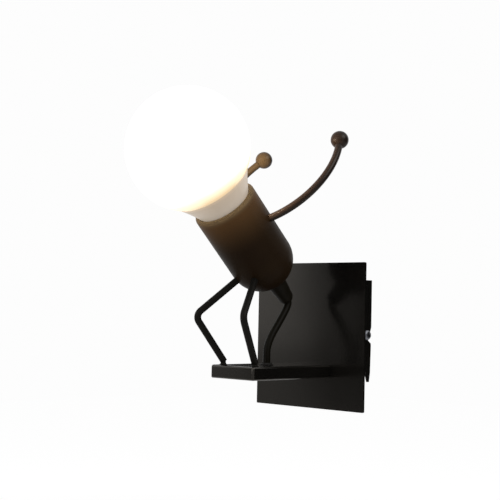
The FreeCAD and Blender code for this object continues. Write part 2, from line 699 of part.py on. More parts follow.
# Lamp holder, in the cup's frame

def holder_body():
    """The insulating body that holds the screw shell, with a floor under it."""
    outer = HOLDER_DIAMETER / 2
    rim = -HOLDER_BELOW_MOUTH
    seat = SHELL_BORE / 2 + SHELL_SHEET
    body = turned((0, HOLDER_FLOOR_LOW), (outer, HOLDER_FLOOR_LOW), (outer, rim - 1.0),
                  (outer - 1.0, rim), (seat + 1.5, rim), (seat, rim - 1.5),
                  (seat, HOLDER_FLOOR_TOP), (0, HOLDER_FLOOR_TOP))
    for side in (-1, 1):
        rivet = Vector(side * TERMINAL_OFFSET, 0, HOLDER_FLOOR_LOW)
        screw = Vector(0, side * HOLDER_SCREW_RADIUS, HOLDER_FLOOR_LOW)
        body = body.cut(cylinder(M3, HOLDER_FLOOR, rivet))
        body = body.cut(cylinder(M3, 8.0, screw))
    return body


def holder_base():
    """The cap that closes the holder below and takes the threaded tube."""
    outer = HOLDER_DIAMETER / 2
    inner = outer - 5.5
    hole = TUBE_DIAMETER / 2 + THREAD_CLEARANCE
    taper = HOLDER_FLOOR_LOW - 4.0
    base = turned((inner, HOLDER_FLOOR_LOW), (outer, HOLDER_FLOOR_LOW), (outer, taper),
                  (outer - 7.0, HOLDER_LOW), (hole, HOLDER_LOW), (hole, BASE_FLOOR),
                  (inner - 2.5, BASE_FLOOR), (inner, taper))
    for side in (-1, 1):
        place = Vector(0, side * HOLDER_SCREW_RADIUS, HOLDER_LOW)
        base = base.cut(cylinder(M3 + HOLE_CLEARANCE, HOLDER_BASE_HEIGHT, place))
        base = base.cut(cylinder(2 * M3 + HOLE_CLEARANCE, taper - HOLDER_LOW, place))
    return base


def holder_screws():
    """The two screws that draw the base up to the body."""
    head = HOLDER_FLOOR_LOW - 4.0
    screws = []
    for side in (-1, 1):
        place = Placement(Vector(0, side * HOLDER_SCREW_RADIUS, head), Rotation(X_AXIS, 180))
        screws.append(placed(pan_screw(M3, HOLDER_SCREW_LENGTH), place))
    return Part.Compound(screws)


def screw_shell():
    """The holder's threaded sleeve, with a tab across the floor to its rivet."""
    top = -HOLDER_BELOW_MOUTH - SHELL_BELOW_RIM
    outer = SHELL_BORE + 2 * SHELL_SHEET
    sleeve = ring(outer, SHELL_BORE, top - HOLDER_FLOOR_TOP, Vector(0, 0, HOLDER_FLOOR_TOP))
    tab = box((-outer / 2 + 0.2, -LEAF_WIDTH / 2, HOLDER_FLOOR_TOP),
              (-TERMINAL_OFFSET + 2.5, LEAF_WIDTH / 2, HOLDER_FLOOR_TOP + LEAF_SHEET))
    shell = sleeve.fuse(tab).removeSplitter()
    return shell.cut(cylinder(M3, LEAF_SHEET, Vector(-TERMINAL_OFFSET, 0, HOLDER_FLOOR_TOP)))


def centre_contact():
    """The springy strip that the bulb's pip presses on, riveted to the floor."""
    low = HOLDER_FLOOR_TOP
    high = PIP_LOW - TURNING_CLEARANCE
    line = [(TERMINAL_OFFSET + 2.5, low), (TERMINAL_OFFSET - 2.5, low), (2.2, high - LEAF_SHEET),
            (-2.2, high - LEAF_SHEET), (-3.6, high - 1.3), (-3.6, high - 1.3 + LEAF_SHEET),
            (-2.2, high), (2.2, high), (TERMINAL_OFFSET - 2.3, low + LEAF_SHEET),
            (TERMINAL_OFFSET + 2.5, low + LEAF_SHEET)]
    strip = prism([Vector(x, -LEAF_WIDTH / 2, z) for x, z in line], Vector(0, LEAF_WIDTH, 0))
    return strip.cut(cylinder(M3, LEAF_SHEET, Vector(TERMINAL_OFFSET, 0, low)))


def holder_terminal(side):
    """A brass block under the floor, riveted through it."""
    half = TERMINAL_BLOCK / 2
    x = side * TERMINAL_OFFSET
    block = box((x - half, -half, HOLDER_FLOOR_LOW - TERMINAL_BLOCK),
                (x + half, half, HOLDER_FLOOR_LOW))
    shank = cylinder(M3, HOLDER_FLOOR + LEAF_SHEET, Vector(x, 0, HOLDER_FLOOR_LOW))
    head = cylinder(M3 + 1.4, 0.5, Vector(x, 0, HOLDER_FLOOR_TOP + LEAF_SHEET))
    middle = Vector(x, 0, HOLDER_FLOOR_LOW - half)
    screw_hole = cylinder(M3 - 0.5, half, middle, Y_AXIS * -1)
    core_hole = cylinder(CORE_DIAMETER + THREAD_CLEARANCE, half + CORE_DIAMETER / 2,
                         middle + X_AXIS * (side * CORE_DIAMETER / 2), X_AXIS * -side)
    return block.fuse([shank, head]).removeSplitter().cut([screw_hole, core_hole])


def holder_terminal_screws():
    """The grub screws that clamp the cores in the two blocks."""
    half = TERMINAL_BLOCK / 2
    screws = []
    for x in (-TERMINAL_OFFSET, TERMINAL_OFFSET):
        start = Vector(x, -half - 1.2, HOLDER_FLOOR_LOW - half)
        length = -start.y - CORE_DIAMETER / 2 - THREAD_CLEARANCE
        screw = cylinder(M3 - 0.5 - THREAD_CLEARANCE, length, start, Y_AXIS)
        slot = box((x - 2, start.y, start.z - 0.3), (x + 2, start.y + 0.7, start.z + 0.3))
        screws.append(screw.cut(slot))
    return Part.Compound(screws)


def threaded_tube():
    """The tube from the holder's base through the cup's bottom into the cord grip."""
    low = GRIP_LOW + GRIP_LENGTH - GRIP_THREAD_DEPTH + 0.5
    return ring(TUBE_DIAMETER, TUBE_BORE, TUBE_TOP - low, Vector(0, 0, low))


def tube_nuts():
    """Three nuts: on the earth tag in the holder, under the holder, and in the cup's
    bottom."""
    corner = TUBE_NUT_FLATS / math.sqrt(3)
    bottom = -CUP_STRAIGHT - math.sqrt(CUP_BORE_RADIUS ** 2 - corner ** 2) + 0.1
    nut = hex_nut(TUBE_NUT_FLATS, TUBE_NUT_HEIGHT, TUBE_DIAMETER + THREAD_CLEARANCE)
    heights = (BASE_FLOOR + EARTH_TAG_SHEET, HOLDER_LOW - TUBE_NUT_HEIGHT, bottom)
    return Part.Compound([placed(nut, Placement(Vector(0, 0, height), Rotation()))
                          for height in heights])


def earth_tag():
    """The ring on the tube that the earth core is crimped to."""
    tag = cylinder(TUBE_NUT_FLATS, EARTH_TAG_SHEET, Vector(0, 0, BASE_FLOOR))
    tail = box((-1.8, -9.6, BASE_FLOOR), (1.8, 0, BASE_FLOOR + EARTH_TAG_SHEET))
    hole = cylinder(TUBE_DIAMETER + THREAD_CLEARANCE, EARTH_TAG_SHEET, Vector(0, 0, BASE_FLOOR))
    return tag.fuse(tail).removeSplitter().cut(hole)


def cord_grip():
    """The tapered grip screwed on the tube's end, hollowed on top to sit on the cup, with a
    bevelled nose and a flared mouth for the flex."""
    low = GRIP_LOW
    bore = FLEX_DIAMETER / 2 + GROMMET_GAP
    top = CUP_POLE + 1.4
    flare = GRIP_MOUTH / 2 - bore
    grip = turned((bore, low + 2 * flare), (GRIP_MOUTH / 2, low), (GRIP_END / 2, low),
                  (GRIP_SHOULDER / 2, low + GRIP_NOSE), (GRIP_TOP / 2, top), (bore, top))
    grip = grip.cut(Part.makeSphere(CUP_RADIUS + 0.02, Vector(0, 0, -CUP_STRAIGHT)))
    grip = grip.cut(cylinder(TUBE_DIAMETER + THREAD_CLEARANCE, GRIP_LENGTH,
                             Vector(0, 0, CUP_POLE - GRIP_THREAD_DEPTH)))
    return grip.cut(cylinder(M3, GRIP_TOP, Vector(0, 0, GRIP_SCREW_HEIGHT), Y_AXIS))


def cord_grip_screw():
    """The small screw in the grip's side that holds the flex."""
    start = FLEX_DIAMETER / 2 + 0.05
    screw = cylinder(M3 - THREAD_CLEARANCE, 2.8, Vector(0, start, GRIP_SCREW_HEIGHT), Y_AXIS)
    slot = box((-2, start + 2.1, GRIP_SCREW_HEIGHT - 0.3),
               (2, start + 2.8, GRIP_SCREW_HEIGHT + 0.3))
    return screw.cut(slot)


# Bulb, in the cup's frame

def bulb_globe():
    """The opal shell, open where it meets the collar."""
    inner = GLOBE_RADIUS - GLOBE_WALL
    centre = GLOBE_CENTRE_ABOVE_MOUTH
    inner_edge = (math.sqrt(inner ** 2 - (centre - SEAM) ** 2), SEAM)
    return turned((SEAM_RADIUS, SEAM),
                  (on_circle(centre, GLOBE_RADIUS, 20), (0, centre + GLOBE_RADIUS)),
                  (0, centre + inner),
                  (on_circle(centre, inner, 20), inner_edge))


def bulb_collar():
    """The cone-shaped housing, a thin shell with a ledge for the board of light chips."""
    foot = -COLLAR_FOOT_BELOW_MOUTH
    rim = SEAM_RADIUS
    wall = COLLAR_WALL
    ledge = SEAM - BOARD_BELOW_SEAM - BOARD_THICKNESS
    middle = (rim + COLLAR_MOUTH_RADIUS) / 2 - 0.5
    neck = COLLAR_FOOT_RADIUS + COLLAR_FOOT_CHAMFER * 0.7
    waist = (neck + COLLAR_MOUTH_RADIUS) / 2 + 0.4
    shell = turned((COLLAR_FOOT_RADIUS, foot), (neck, foot + COLLAR_FOOT_CHAMFER),
                   ((waist, -COLLAR_WAIST), (COLLAR_MOUTH_RADIUS, 0)),
                   ((middle, SEAM / 2), (rim, SEAM)),
                   (rim - wall, SEAM),
                   ((middle - wall - 0.4, SEAM / 2), (COLLAR_MOUTH_RADIUS - wall, 0)),
                   (COLLAR_FOOT_RADIUS - wall, foot + COLLAR_FOOT_CHAMFER),
                   (CAP_DIAMETER / 2 - 1.0, foot))
    step = ring(2 * (BOARD_RADIUS + 1.0), 2 * (BOARD_RADIUS - 3.0), 2.0,
                Vector(0, 0, ledge - 2.0))
    rib_reach = collar_bore_at(ledge - 2.0) + 0.3
    rim_of_step = ring(2 * rib_reach, 2 * BOARD_RADIUS, 2.0, Vector(0, 0, ledge - 2.0))
    return shell.fuse([step, rim_of_step]).removeSplitter()


def collar_bore_at(height):
    """The collar's inside radius at a height, near enough for a ledge that is fused to it."""
    share = height / SEAM
    return COLLAR_MOUTH_RADIUS + (SEAM_RADIUS - COLLAR_MOUTH_RADIUS) * share - COLLAR_WALL


def bulb_screw_cap():
    """The cap's metal sleeve, with a shoulder up to the collar and a rolled-in foot."""
    outer = CAP_DIAMETER / 2
    inner = outer - CAP_SHEET
    top = -COLLAR_FOOT_BELOW_MOUTH
    return turned((outer - 2.6, CAP_LOW), (outer, CAP_LOW + 1.6), (outer, top), (inner, top),
                  (inner, CAP_LOW + 1.8), (outer - 2.8, CAP_LOW + CAP_SHEET))


def bulb_cap_insulator():
    """The black ring between the cap's sleeve and its pip."""
    outer = CAP_DIAMETER / 2 - 2.6
    return turned((0, INSULATOR_LOW), (PIP_DIAMETER / 2 + 0.6, INSULATOR_LOW), (outer, CAP_LOW),
                  (outer - 0.3, CAP_LOW + 0.4), (0, CAP_LOW + 0.4))


def bulb_contact():
    """The round pip at the end of the cap."""
    radius = PIP_DIAMETER / 2
    top = INSULATOR_LOW - THREAD_CLEARANCE
    flat = radius / 2
    edge = top - 0.2
    middle = PIP_LOW + (edge - PIP_LOW) * 0.3
    return turned((0, PIP_LOW), (flat, PIP_LOW), ((radius * 0.85, middle), (radius, edge)),
                  (radius, top), (0, top))


def led_board():
    top = SEAM - BOARD_BELOW_SEAM
    return cylinder(2 * BOARD_RADIUS, BOARD_THICKNESS, Vector(0, 0, top - BOARD_THICKNESS))


def led_chips():
    """A ring of light chips on the board."""
    base = SEAM - BOARD_BELOW_SEAM
    chips = []
    for index in range(CHIP_COUNT):
        chip = box((CHIP_RING - 1.75, -1.4, base), (CHIP_RING + 1.75, 1.4, base + 0.8))
        turn = Rotation(Z_AXIS, 360 * index / CHIP_COUNT)
        chips.append(placed(chip, Placement(Vector(0, 0, 0), turn)))
    return Part.Compound(chips)


def driver_board():
    """The upright circuit board that feeds the chips, from the cap up to their board."""
    high = SEAM - BOARD_BELOW_SEAM - BOARD_THICKNESS
    half = DRIVER_WIDTH / 2
    return box((-half, -DRIVER_SHEET / 2, CAP_LOW + 1.9), (half, DRIVER_SHEET / 2, high))


def driver_parts():
    """A capacitor, a transformer, a chip and a coil on the driver board."""
    face = DRIVER_SHEET / 2
    capacitor = cylinder(CAPACITOR_DIAMETER, CAPACITOR_LENGTH,
                         Vector(-CAPACITOR_DIAMETER / 2, face + CAPACITOR_DIAMETER / 2,
                                -CAPACITOR_BELOW_MOUTH))
    base = -CAPACITOR_BELOW_MOUTH + CAPACITOR_LENGTH + CAPACITOR_DIAMETER / 2
    transformer = box((-TRANSFORMER_WIDTH / 2, face, base),
                      (TRANSFORMER_WIDTH / 2, face + TRANSFORMER_DEPTH,
                       base + TRANSFORMER_HEIGHT))
    coil = cylinder(COIL_DIAMETER, COIL_LENGTH, Vector(0, -face, base + COIL_DIAMETER),
                    Y_AXIS * -1)
    chip = box((-COIL_DIAMETER / 2, -face - 1.6, base - COIL_DIAMETER * 2),
               (COIL_DIAMETER / 2, -face, base - COIL_DIAMETER))
    return Part.Compound([capacitor, transformer, chip, coil])


# Flex and cores

def flex_points():
    """Out of the cord grip, round under it, down to the shelf, and along it to the wall."""
    corner = head_point(0, 0, GRIP_LOW - FLEX_CORNER_PAST_GRIP)
    return [head_point(0, 0, TUBE_TOP - FLEX_END_IN_TUBE),
            corner,
            corner - Vector(0, FLEX_BACK_FROM_CORNER, FLEX_DROP_FROM_CORNER),
            Vector(0, FLEX_HOLE_Y - FLEX_BOW_OVER_SHELF, SHELF_TOP + FLEX_KNEE_ABOVE_SHELF),
            Vector(0, FLEX_HOLE_Y, FLEX_Z),
            Vector(0, -FLEX_END_FROM_WALL, FLEX_Z)]


def flex():
    points = flex_points()
    radii = soft_radii(points)
    radii[0] = FLEX_GRIP_RADIUS
    radii[-1] = FLEX_UNDER_SHELF_RADIUS
    path = bent_path(points, radii)
    sheath = rod_along(path, FLEX_DIAMETER)
    section = math.pi * (FLEX_DIAMETER / 2) ** 2
    print("flex radii", [round(radius, 1) for radius in radii], "length", round(path.Length, 1),
          "volume over section times length", round(sheath.Volume / (section * path.Length), 4))
    return sheath


def holder_core(side):
    """A core from the flex's end into the block at that side of the holder."""
    start = TUBE_TOP - FLEX_END_IN_TUBE
    level = HOLDER_FLOOR_LOW - TERMINAL_BLOCK / 2
    stop = TERMINAL_OFFSET
    across = side * CORE_FROM_MIDDLE
    points = [head_point(across, 0, start), head_point(across, 0, level),
              head_point(side * stop, 0, level)]
    return wire_through(points)


def holder_core_earth():
    """The earth core, over the tube's nut to the tail of the earth tag."""
    level = BASE_FLOOR + EARTH_TAG_SHEET + TUBE_NUT_HEIGHT + 2.6
    down = -CORE_FROM_MIDDLE
    points = [head_point(0, down, TUBE_TOP - FLEX_END_IN_TUBE), head_point(0, down, level),
              head_point(0, -8.9, level), head_point(0, -8.9, BASE_FLOOR + EARTH_TAG_SHEET)]
    return wire_through(points)


def base_core(x, start_x, start_z):
    """A core from the flex's end behind the plate up into a pole of the block."""
    y = -FLEX_END_FROM_WALL
    low = BLOCK_LOW
    points = [Vector(start_x, y, FLEX_Z + start_z),
              Vector(start_x, y + CORE_RUN_FROM_FLEX, FLEX_Z + start_z),
              Vector(x * 0.9, y + 1.1 * CORE_RUN_FROM_FLEX, FLEX_Z + CORE_RISE_FROM_FLEX),
              Vector(x, BLOCK_Y, low - 3.0),
              Vector(x, BLOCK_Y, low + CORE_IN_BLOCK)]
    return wire_through(points)


def earth_link():
    """A wire from the block's middle pole to the ring tag on the plate's earth stud."""
    end = EARTH_STUD + crimp_offset()
    high = BLOCK_HIGH + EARTH_LINK_RISE
    points = [Vector(0, BLOCK_Y, BLOCK_HIGH - CORE_IN_BLOCK), Vector(0, BLOCK_Y, high - 2.0),
              Vector(end.x * 0.45, BLOCK_Y - 1.0, high),
              Vector(end.x * 0.8, BLOCK_Y - 2.0, high - 2.0), end + Vector(0, 0, 2 * M4), end]
    return wire_through(points)


def crimp_offset():
    """From the earth stud on the plate to the foot of the crimped barrel's bore."""
    return Vector(0, EARTH_TAG_SHEET + CORE_DIAMETER / 2 + 0.1, M4 + 0.8)


def earth_link_tag():
    foot = EARTH_STUD + crimp_offset()
    tag = cylinder(2 * M4, EARTH_TAG_SHEET, EARTH_STUD, Y_AXIS)
    tail = box((foot.x - 1.6, PLATE_BACK, EARTH_STUD.z),
               (foot.x + 1.6, PLATE_BACK + EARTH_TAG_SHEET, foot.z + 0.4))
    barrel = ring(CORE_DIAMETER + 1.4, CORE_DIAMETER + 2 * THREAD_CLEARANCE, M4, foot)
    hole = cylinder(M4 + THREAD_CLEARANCE, EARTH_TAG_SHEET, EARTH_STUD, Y_AXIS)
    return tag.fuse([tail, barrel]).removeSplitter().cut(hole)


def earth_nut():
    nut = hex_nut(M4_NUT_FLATS, M4_NUT_HEIGHT, M4 + THREAD_CLEARANCE)
    place = EARTH_STUD + Vector(0, EARTH_TAG_SHEET, 0)
    return placed(nut, Placement(place, Rotation(X_AXIS, -90)))


# Terminal block

def pole_places():
    return [(index - 1) * POLE_SPACING for index in range(3)]


def clamp_places():
    """Two clamp screws on each pole."""
    return [(x, BLOCK_MIDDLE + side * BLOCK_HEIGHT / 4) for x in pole_places()
            for side in (-1, 1)]


def terminal_block():
    """Three poles moulded in a row, with a bore for each insert and a well for each
    clamp screw."""
    low = BLOCK_LOW
    high = BLOCK_HIGH
    back = PLATE_BACK + BLOCK_DEPTH
    notch = BLOCK_NOTCH
    block = box((-BLOCK_WIDTH / 2, PLATE_BACK, low), (BLOCK_WIDTH / 2, back, high))
    for x in (-POLE_SPACING / 2, POLE_SPACING / 2):
        for z in (low, high):
            block = block.cut(box((x - notch / 2, PLATE_BACK, z - notch),
                                  (x + notch / 2, back, z + notch)))
        block = block.cut(cylinder(M3 + HOLE_CLEARANCE, BLOCK_DEPTH,
                                   Vector(x, PLATE_BACK, BLOCK_MIDDLE), Y_AXIS))
    for x in pole_places():
        block = block.cut(cylinder(INSERT_DIAMETER + 2 * THREAD_CLEARANCE, BLOCK_HEIGHT,
                                   Vector(x, BLOCK_Y, low)))
    for x, z in clamp_places():
        block = block.cut(cylinder(CLAMP_SCREW + 1.2, BLOCK_DEPTH / 2, Vector(x, BLOCK_Y, z),
                                   Y_AXIS))
    return block


def terminal_inserts():
    """The brass tubes that the cores meet in."""
    length = BLOCK_HEIGHT - 2 * INSERT_INSIDE_BLOCK
    inserts = []
    for x in pole_places():
        insert = ring(INSERT_DIAMETER, INSERT_BORE, length,
                      Vector(x, BLOCK_Y, BLOCK_LOW + INSERT_INSIDE_BLOCK))
        for place, z in clamp_places():
            if place == x:
                insert = insert.cut(cylinder(CLAMP_SCREW, INSERT_DIAMETER,
                                             Vector(x, BLOCK_Y, z), Y_AXIS))
        inserts.append(insert)
    return Part.Compound(inserts)


def clamp_screws():
    """The six screws that press on the cores."""
    start = BLOCK_Y + CORE_DIAMETER / 2 + 0.1
    length = PLATE_BACK + BLOCK_DEPTH - 0.8 - start
    screws = []
    for x, z in clamp_places():
        screw = cylinder(CLAMP_SCREW - THREAD_CLEARANCE, length, Vector(x, start, z), Y_AXIS)
        slot = box((x - 2, start + length - 0.7, z - 0.3), (x + 2, start + length, z + 0.3))
        screws.append(screw.cut(slot))
    return Part.Compound(screws)


def terminal_nut():
    place = Vector(POLE_SPACING / 2, PLATE_BACK + BLOCK_DEPTH, BLOCK_MIDDLE)
    nut = hex_nut(M3_NUT_FLATS, M3_NUT_HEIGHT, M3 + THREAD_CLEARANCE)
    return placed(nut, Placement(place, Rotation(X_AXIS, -90)))


def all_pieces():
    """Every piece of the light by its name."""
    right_leg = leg()
    in_cup = {
        "lampholder_body": holder_body(),
        "lampholder_base": holder_base(),
        "lampholder_screws": holder_screws(),
        "screw_shell": screw_shell(),
        "centre_contact": centre_contact(),
        "holder_terminals": Part.Compound([holder_terminal(-1), holder_terminal(1)]),
        "holder_terminal_screws": holder_terminal_screws(),
        "threaded_tube": threaded_tube(),
        "tube_nuts": tube_nuts(),
        "earth_tag": earth_tag(),
        "cord_grip": cord_grip(),
        "cord_grip_screw": cord_grip_screw(),
        "bulb_globe": bulb_globe(),
        "bulb_collar": bulb_collar(),
        "bulb_screw_cap": bulb_screw_cap(),
        "bulb_cap_insulator": bulb_cap_insulator(),
        "bulb_contact": bulb_contact(),
        "led_board": led_board(),
        "led_chips": led_chips(),
        "driver_board": driver_board(),
        "driver_parts": driver_parts(),
    }
    pieces = {name: placed(shape, HEAD) for name, shape in in_cup.items()}
    pieces.update({
        "wall_strap": wall_strap(),
        "cable_bush": cable_bush(),
        "back_plate": back_plate(),
        "plate_lugs": both_sides(plate_lug()),
        "side_screws": both_sides(side_screw()),
        "shelf": shelf(),
        "shelf_screws": both_sides(shelf_screw()),
        "shelf_nuts": both_sides(shelf_nut()),
        "shelf_grommet": shelf_grommet(),
        "plate_grommet": plate_grommet(),
        "lamp_cup": lamp_cup(),
        "right_leg": right_leg,
        "left_leg": mirrored(right_leg),
        "hip_nuts": both_sides(hip_nut()),
        "foot_nuts": both_sides(foot_nut()),
        "right_arm": right_side(arm_rod(), RIGHT_ARM_LIFT),
        "left_arm": left_side(arm_rod(), LEFT_ARM_LIFT),
        "right_hand": right_side(hand_ball(), RIGHT_ARM_LIFT),
        "left_hand": left_side(hand_ball(), LEFT_ARM_LIFT),
        "right_arm_nut": right_side(arm_nut(), RIGHT_ARM_LIFT),
        "left_arm_nut": left_side(arm_nut(), LEFT_ARM_LIFT),
        "arm_washers": Part.Compound([right_side(arm_washer(), 0), left_side(arm_washer(), 0)]),
        "flex": flex(),
        "holder_core_live": holder_core(1),
        "holder_core_neutral": holder_core(-1),
        "holder_core_earth": holder_core_earth(),
        "base_core_live": base_core(-POLE_SPACING, -1.15, -0.6),
        "base_core_neutral": base_core(POLE_SPACING, 1.15, -0.6),
        "base_core_earth": base_core(0, 0, 1.3),
        "earth_link": earth_link(),
        "earth_link_tag": earth_link_tag(),
        "earth_nut": earth_nut(),
        "terminal_block": terminal_block(),
        "terminal_inserts": terminal_inserts(),
        "clamp_screws": clamp_screws(),
        "terminal_nut": terminal_nut(),
    })
    return pieces


def main():
    os.makedirs("parts", exist_ok=True)
    for name, shape in all_pieces().items():
        if not shape.isValid():
            print("not valid:", name)
        shape.exportStep("parts/" + name + ".step")


main()
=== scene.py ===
# %% [markdown]
# # A wall light in the shape of a diver
# The object is a lamp cup tilted on two bent legs, with two raised arms, a globe bulb for a
# head and a sheet-metal shelf for a board. All its black metal is bent, spun or folded sheet
# and rod, so almost every surface is a profile turned about an axis or carried along a bend.
# The measured solids of the light are loaded first. They fix where each piece is and which
# pieces move together, and the sizes below are the same ones, in metres.

# %% Load the measured solids
import json
import bmesh
import bpy
import numpy as np
from mathutils import Matrix, Vector


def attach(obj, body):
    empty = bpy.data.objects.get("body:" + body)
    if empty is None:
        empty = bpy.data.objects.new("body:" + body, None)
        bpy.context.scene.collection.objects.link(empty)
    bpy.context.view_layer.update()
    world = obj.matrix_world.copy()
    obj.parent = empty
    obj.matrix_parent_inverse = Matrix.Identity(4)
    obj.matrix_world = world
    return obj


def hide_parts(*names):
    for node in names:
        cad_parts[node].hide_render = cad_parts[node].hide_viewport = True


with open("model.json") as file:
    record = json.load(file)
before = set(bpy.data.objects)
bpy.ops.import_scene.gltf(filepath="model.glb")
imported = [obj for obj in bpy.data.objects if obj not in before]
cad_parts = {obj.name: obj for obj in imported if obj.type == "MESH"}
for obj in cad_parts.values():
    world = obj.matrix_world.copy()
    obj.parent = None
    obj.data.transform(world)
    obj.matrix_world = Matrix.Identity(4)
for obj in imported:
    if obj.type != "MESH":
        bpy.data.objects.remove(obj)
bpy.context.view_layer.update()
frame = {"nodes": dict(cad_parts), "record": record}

# %% [markdown]
# ## Camera
# A portrait of a small object is taken from over a metre away with a long lens, which keeps
# its upright edges parallel. The camera could be aimed with a tracking constraint, but a
# written matrix is exact and stays put. Azimuth goes round the object from its front,
# elevation up from the horizon, and roll turns the picture. The numbers were solved from the
# corners of the square plate and the outlines of the cup and limbs.

# %% Camera
def camera_axes(azimuth, elevation, roll):
    """Right, up and backward as the columns of a matrix. Backward points from the object
    to the camera, and roll turns right and up about it."""
    a, e, r = np.radians([azimuth, elevation, roll])
    backward = np.array([np.sin(a) * np.cos(e), -np.cos(a) * np.cos(e), np.sin(e)])
    right = np.array([np.cos(a), np.sin(a), 0])
    up = np.cross(backward, right)
    return np.column_stack([np.cos(r) * right + np.sin(r) * up,
                            np.cos(r) * up - np.sin(r) * right, backward])


def new_object(name, data):
    """An object with that data, in the scene."""
    thing = bpy.data.objects.new(name, data)
    bpy.context.scene.collection.objects.link(thing)
    return thing


AIM = np.array([-0.07217, -0.02001, 0.04524])
DISTANCE = 1.05898
AZIMUTH, ELEVATION, ROLL = 45.695, -2.734, 1.18
LENS, SENSOR = 86.966, 36
axes = camera_axes(AZIMUTH, ELEVATION, ROLL)
place = np.eye(4)
place[:3, :3] = axes
place[:3, 3] = AIM + DISTANCE * axes[:, 2]
camera_data = bpy.data.cameras.new("camera")
camera_data.sensor_width = SENSOR
camera_data.lens = LENS
camera = new_object("camera", camera_data)
camera.matrix_world = Matrix(place.tolist())
bpy.context.scene.camera = camera
print("camera at", np.round(place[:3, 3], 3), "lens", camera_data.lens, "mm")

# %% [markdown]
# ## Colour and one way to build a material
# Colours are written as hex codes, as on a paint card. Those numbers are encoded for a
# screen, and a shader wants them linear, so one function converts them. Another adds a node
# with its options, its values and its links, which keeps each material short enough to read
# as a list of the finish's layers.

# %% Colour, nodes and materials
def paint(hex_code):
    """An sRGB hex code as linear red, green, blue and alpha: a value under 0.04045 is divided
    by 12.92, and a higher one is ((value + 0.055) / 1.055) to the power 2.4."""
    value = np.array([int(hex_code[i:i + 2], 16) for i in (1, 3, 5)]) / 255
    linear = np.where(value < 0.04045, value / 12.92, ((value + 0.055) / 1.055) ** 2.4)
    return (*linear.tolist(), 1.0)


def fill(node, **sockets):
    """Gives a node's sockets their values: a number, a colour, or another node's output,
    which is linked. Underscores in a name stand for spaces, and _6 is the socket with the
    index 6."""
    for label, value in sockets.items():
        socket = node.inputs[int(label[1:])] if label[0] == "_" else node.inputs[
            label.replace("_", " ")]
        if isinstance(value, bpy.types.NodeSocket):
            node.id_data.links.new(value, socket)
        else:
            socket.default_value = value
    return node


def add(tree, kind, settings=None, **sockets):
    """Adds a node with its own options, and fills its sockets."""
    node = tree.nodes.new("ShaderNode" + kind)
    for option, value in (settings or {}).items():
        setattr(node, option, value)
    return fill(node, **sockets)


def new_material(name, **sockets):
    """A named material with one Principled shader set to the given sockets."""
    material = bpy.data.materials.new(name)
    material.use_nodes = True
    tree = material.node_tree
    return material, tree, fill(tree.nodes["Principled BSDF"], **sockets)


print("white is", paint("#ffffff"), "and mid grey", np.round(paint("#808080"), 3))

# %% [markdown]
# Paint, metal and plastic all have the same layers: two tones in slow patches, a roughness
# that swings a little, and a fine grain that raises the surface. They could be painted on
# images, but noise in the object's own coordinates has no seams and stays sharp near by. One
# function builds the layers, and each finish hands it the real one's sizes and colours.
# Noise seldom leaves the middle of its range, so it is stretched from there.

# %% Layers of a finish
NOISE_MIDDLE = {"From_Min": 0.3, "From_Max": 0.7}


def tone_and_relief(tree, shader, share, tones, height, depth):
    """Gives the shader two paints blended by the share, and a surface raised by height times
    depth, in metres."""
    colour = add(tree, "Mix", {"data_type": "RGBA"}, _0=share, _6=paint(tones[0]),
                 _7=paint(tones[1]))
    raised = add(tree, "Bump", Height=height, Distance=depth)
    fill(shader, Base_Color=colour.outputs[2], Normal=raised.outputs["Normal"])


def two_tone_finish(name, tones, patch, detail, grain, depth, rough, cloudy, **sockets):
    """A finish in two tones. Slow noise, whose spots have the patch's size, blends them, and
    noise of the grain's size raises the surface by up to depth. The roughness swings between
    its two values with the patches where cloudy is set, and else with the grain. A spot is
    half a cell of the noise, so its scale is 0.5 / size."""
    material, tree, shader = new_material(name, **sockets)
    where = add(tree, "TexCoord").outputs["Object"]
    slow = add(tree, "TexNoise", Vector=where, Scale=0.5 / patch, Detail=detail).outputs["Fac"]
    fine = add(tree, "TexNoise", Vector=where, Scale=0.5 / grain).outputs["Fac"]
    share = add(tree, "MapRange", Value=slow, **NOISE_MIDDLE).outputs["Result"]
    tone_and_relief(tree, shader, share, tones, fine, depth)
    polish = add(tree, "MapRange", Value=slow if cloudy else fine, To_Min=rough[0],
                 To_Max=rough[1], **NOISE_MIDDLE)
    fill(shader, Roughness=polish.outputs["Result"])
    return material


print("noise is stretched from", list(NOISE_MIDDLE.values()))

# %% [markdown]
# ## Black enamel
# The plate, shelf, cup, legs and arms are steel with a stoved black enamel, sprayed on and
# baked. As it flows it leaves a fine orange peel about 1.5 mm across, and its gloss varies a
# little from place to place. The flat sheet takes a thick coat and mirrors the room softly.
# The spun cup and the bent rods take a thinner one, which is duller. The cup and arms are
# also browner than the legs, and that brown is painted light: the lit bulb's warm glow, put
# into their paint. All four are one paint: a near-black colour with a second tone in slow
# clouds, under a gloss of its own. A separate clear coat could be laid over it, but at this
# darkness the base's own gloss already looks like one.

# %% Black enamel
PEEL, PEEL_DEPTH = 0.0015, 0.000005
CLOUD = 0.020


def black_enamel(name, colour, deeper, rough, gloss):
    """Dark paint with orange peel, and slow clouds in its colour and gloss."""
    return two_tone_finish(name, (colour, deeper), CLOUD, 3.0, PEEL, PEEL_DEPTH,
                           (rough * 0.88, rough * 1.15), True, IOR=1.5,
                           Specular_IOR_Level=gloss, Specular_Tint=paint("#fff6ea"))


sheet_enamel = black_enamel("black_enamel_on_sheet", "#100f0d", "#0c0b0a", 0.14, 0.5)
# The cup's and arms' browner colours are painted light, the lit bulb's warm glow on black paint.
cup_enamel_warmed_by_painted_light = black_enamel("black_enamel_on_cup_with_painted_warmth", "#1d1409", "#180f07", 0.42, 0.04)
leg_enamel = black_enamel("black_enamel_on_legs", "#161513", "#12110f", 0.42, 0.05)
arm_enamel_warmed_by_painted_light = black_enamel("black_enamel_on_arms_with_painted_warmth", "#1f1712", "#1a130f", 0.28, 0.14)
print("enamels:", sheet_enamel.name, cup_enamel_warmed_by_painted_light.name, leg_enamel.name, arm_enamel_warmed_by_painted_light.name)

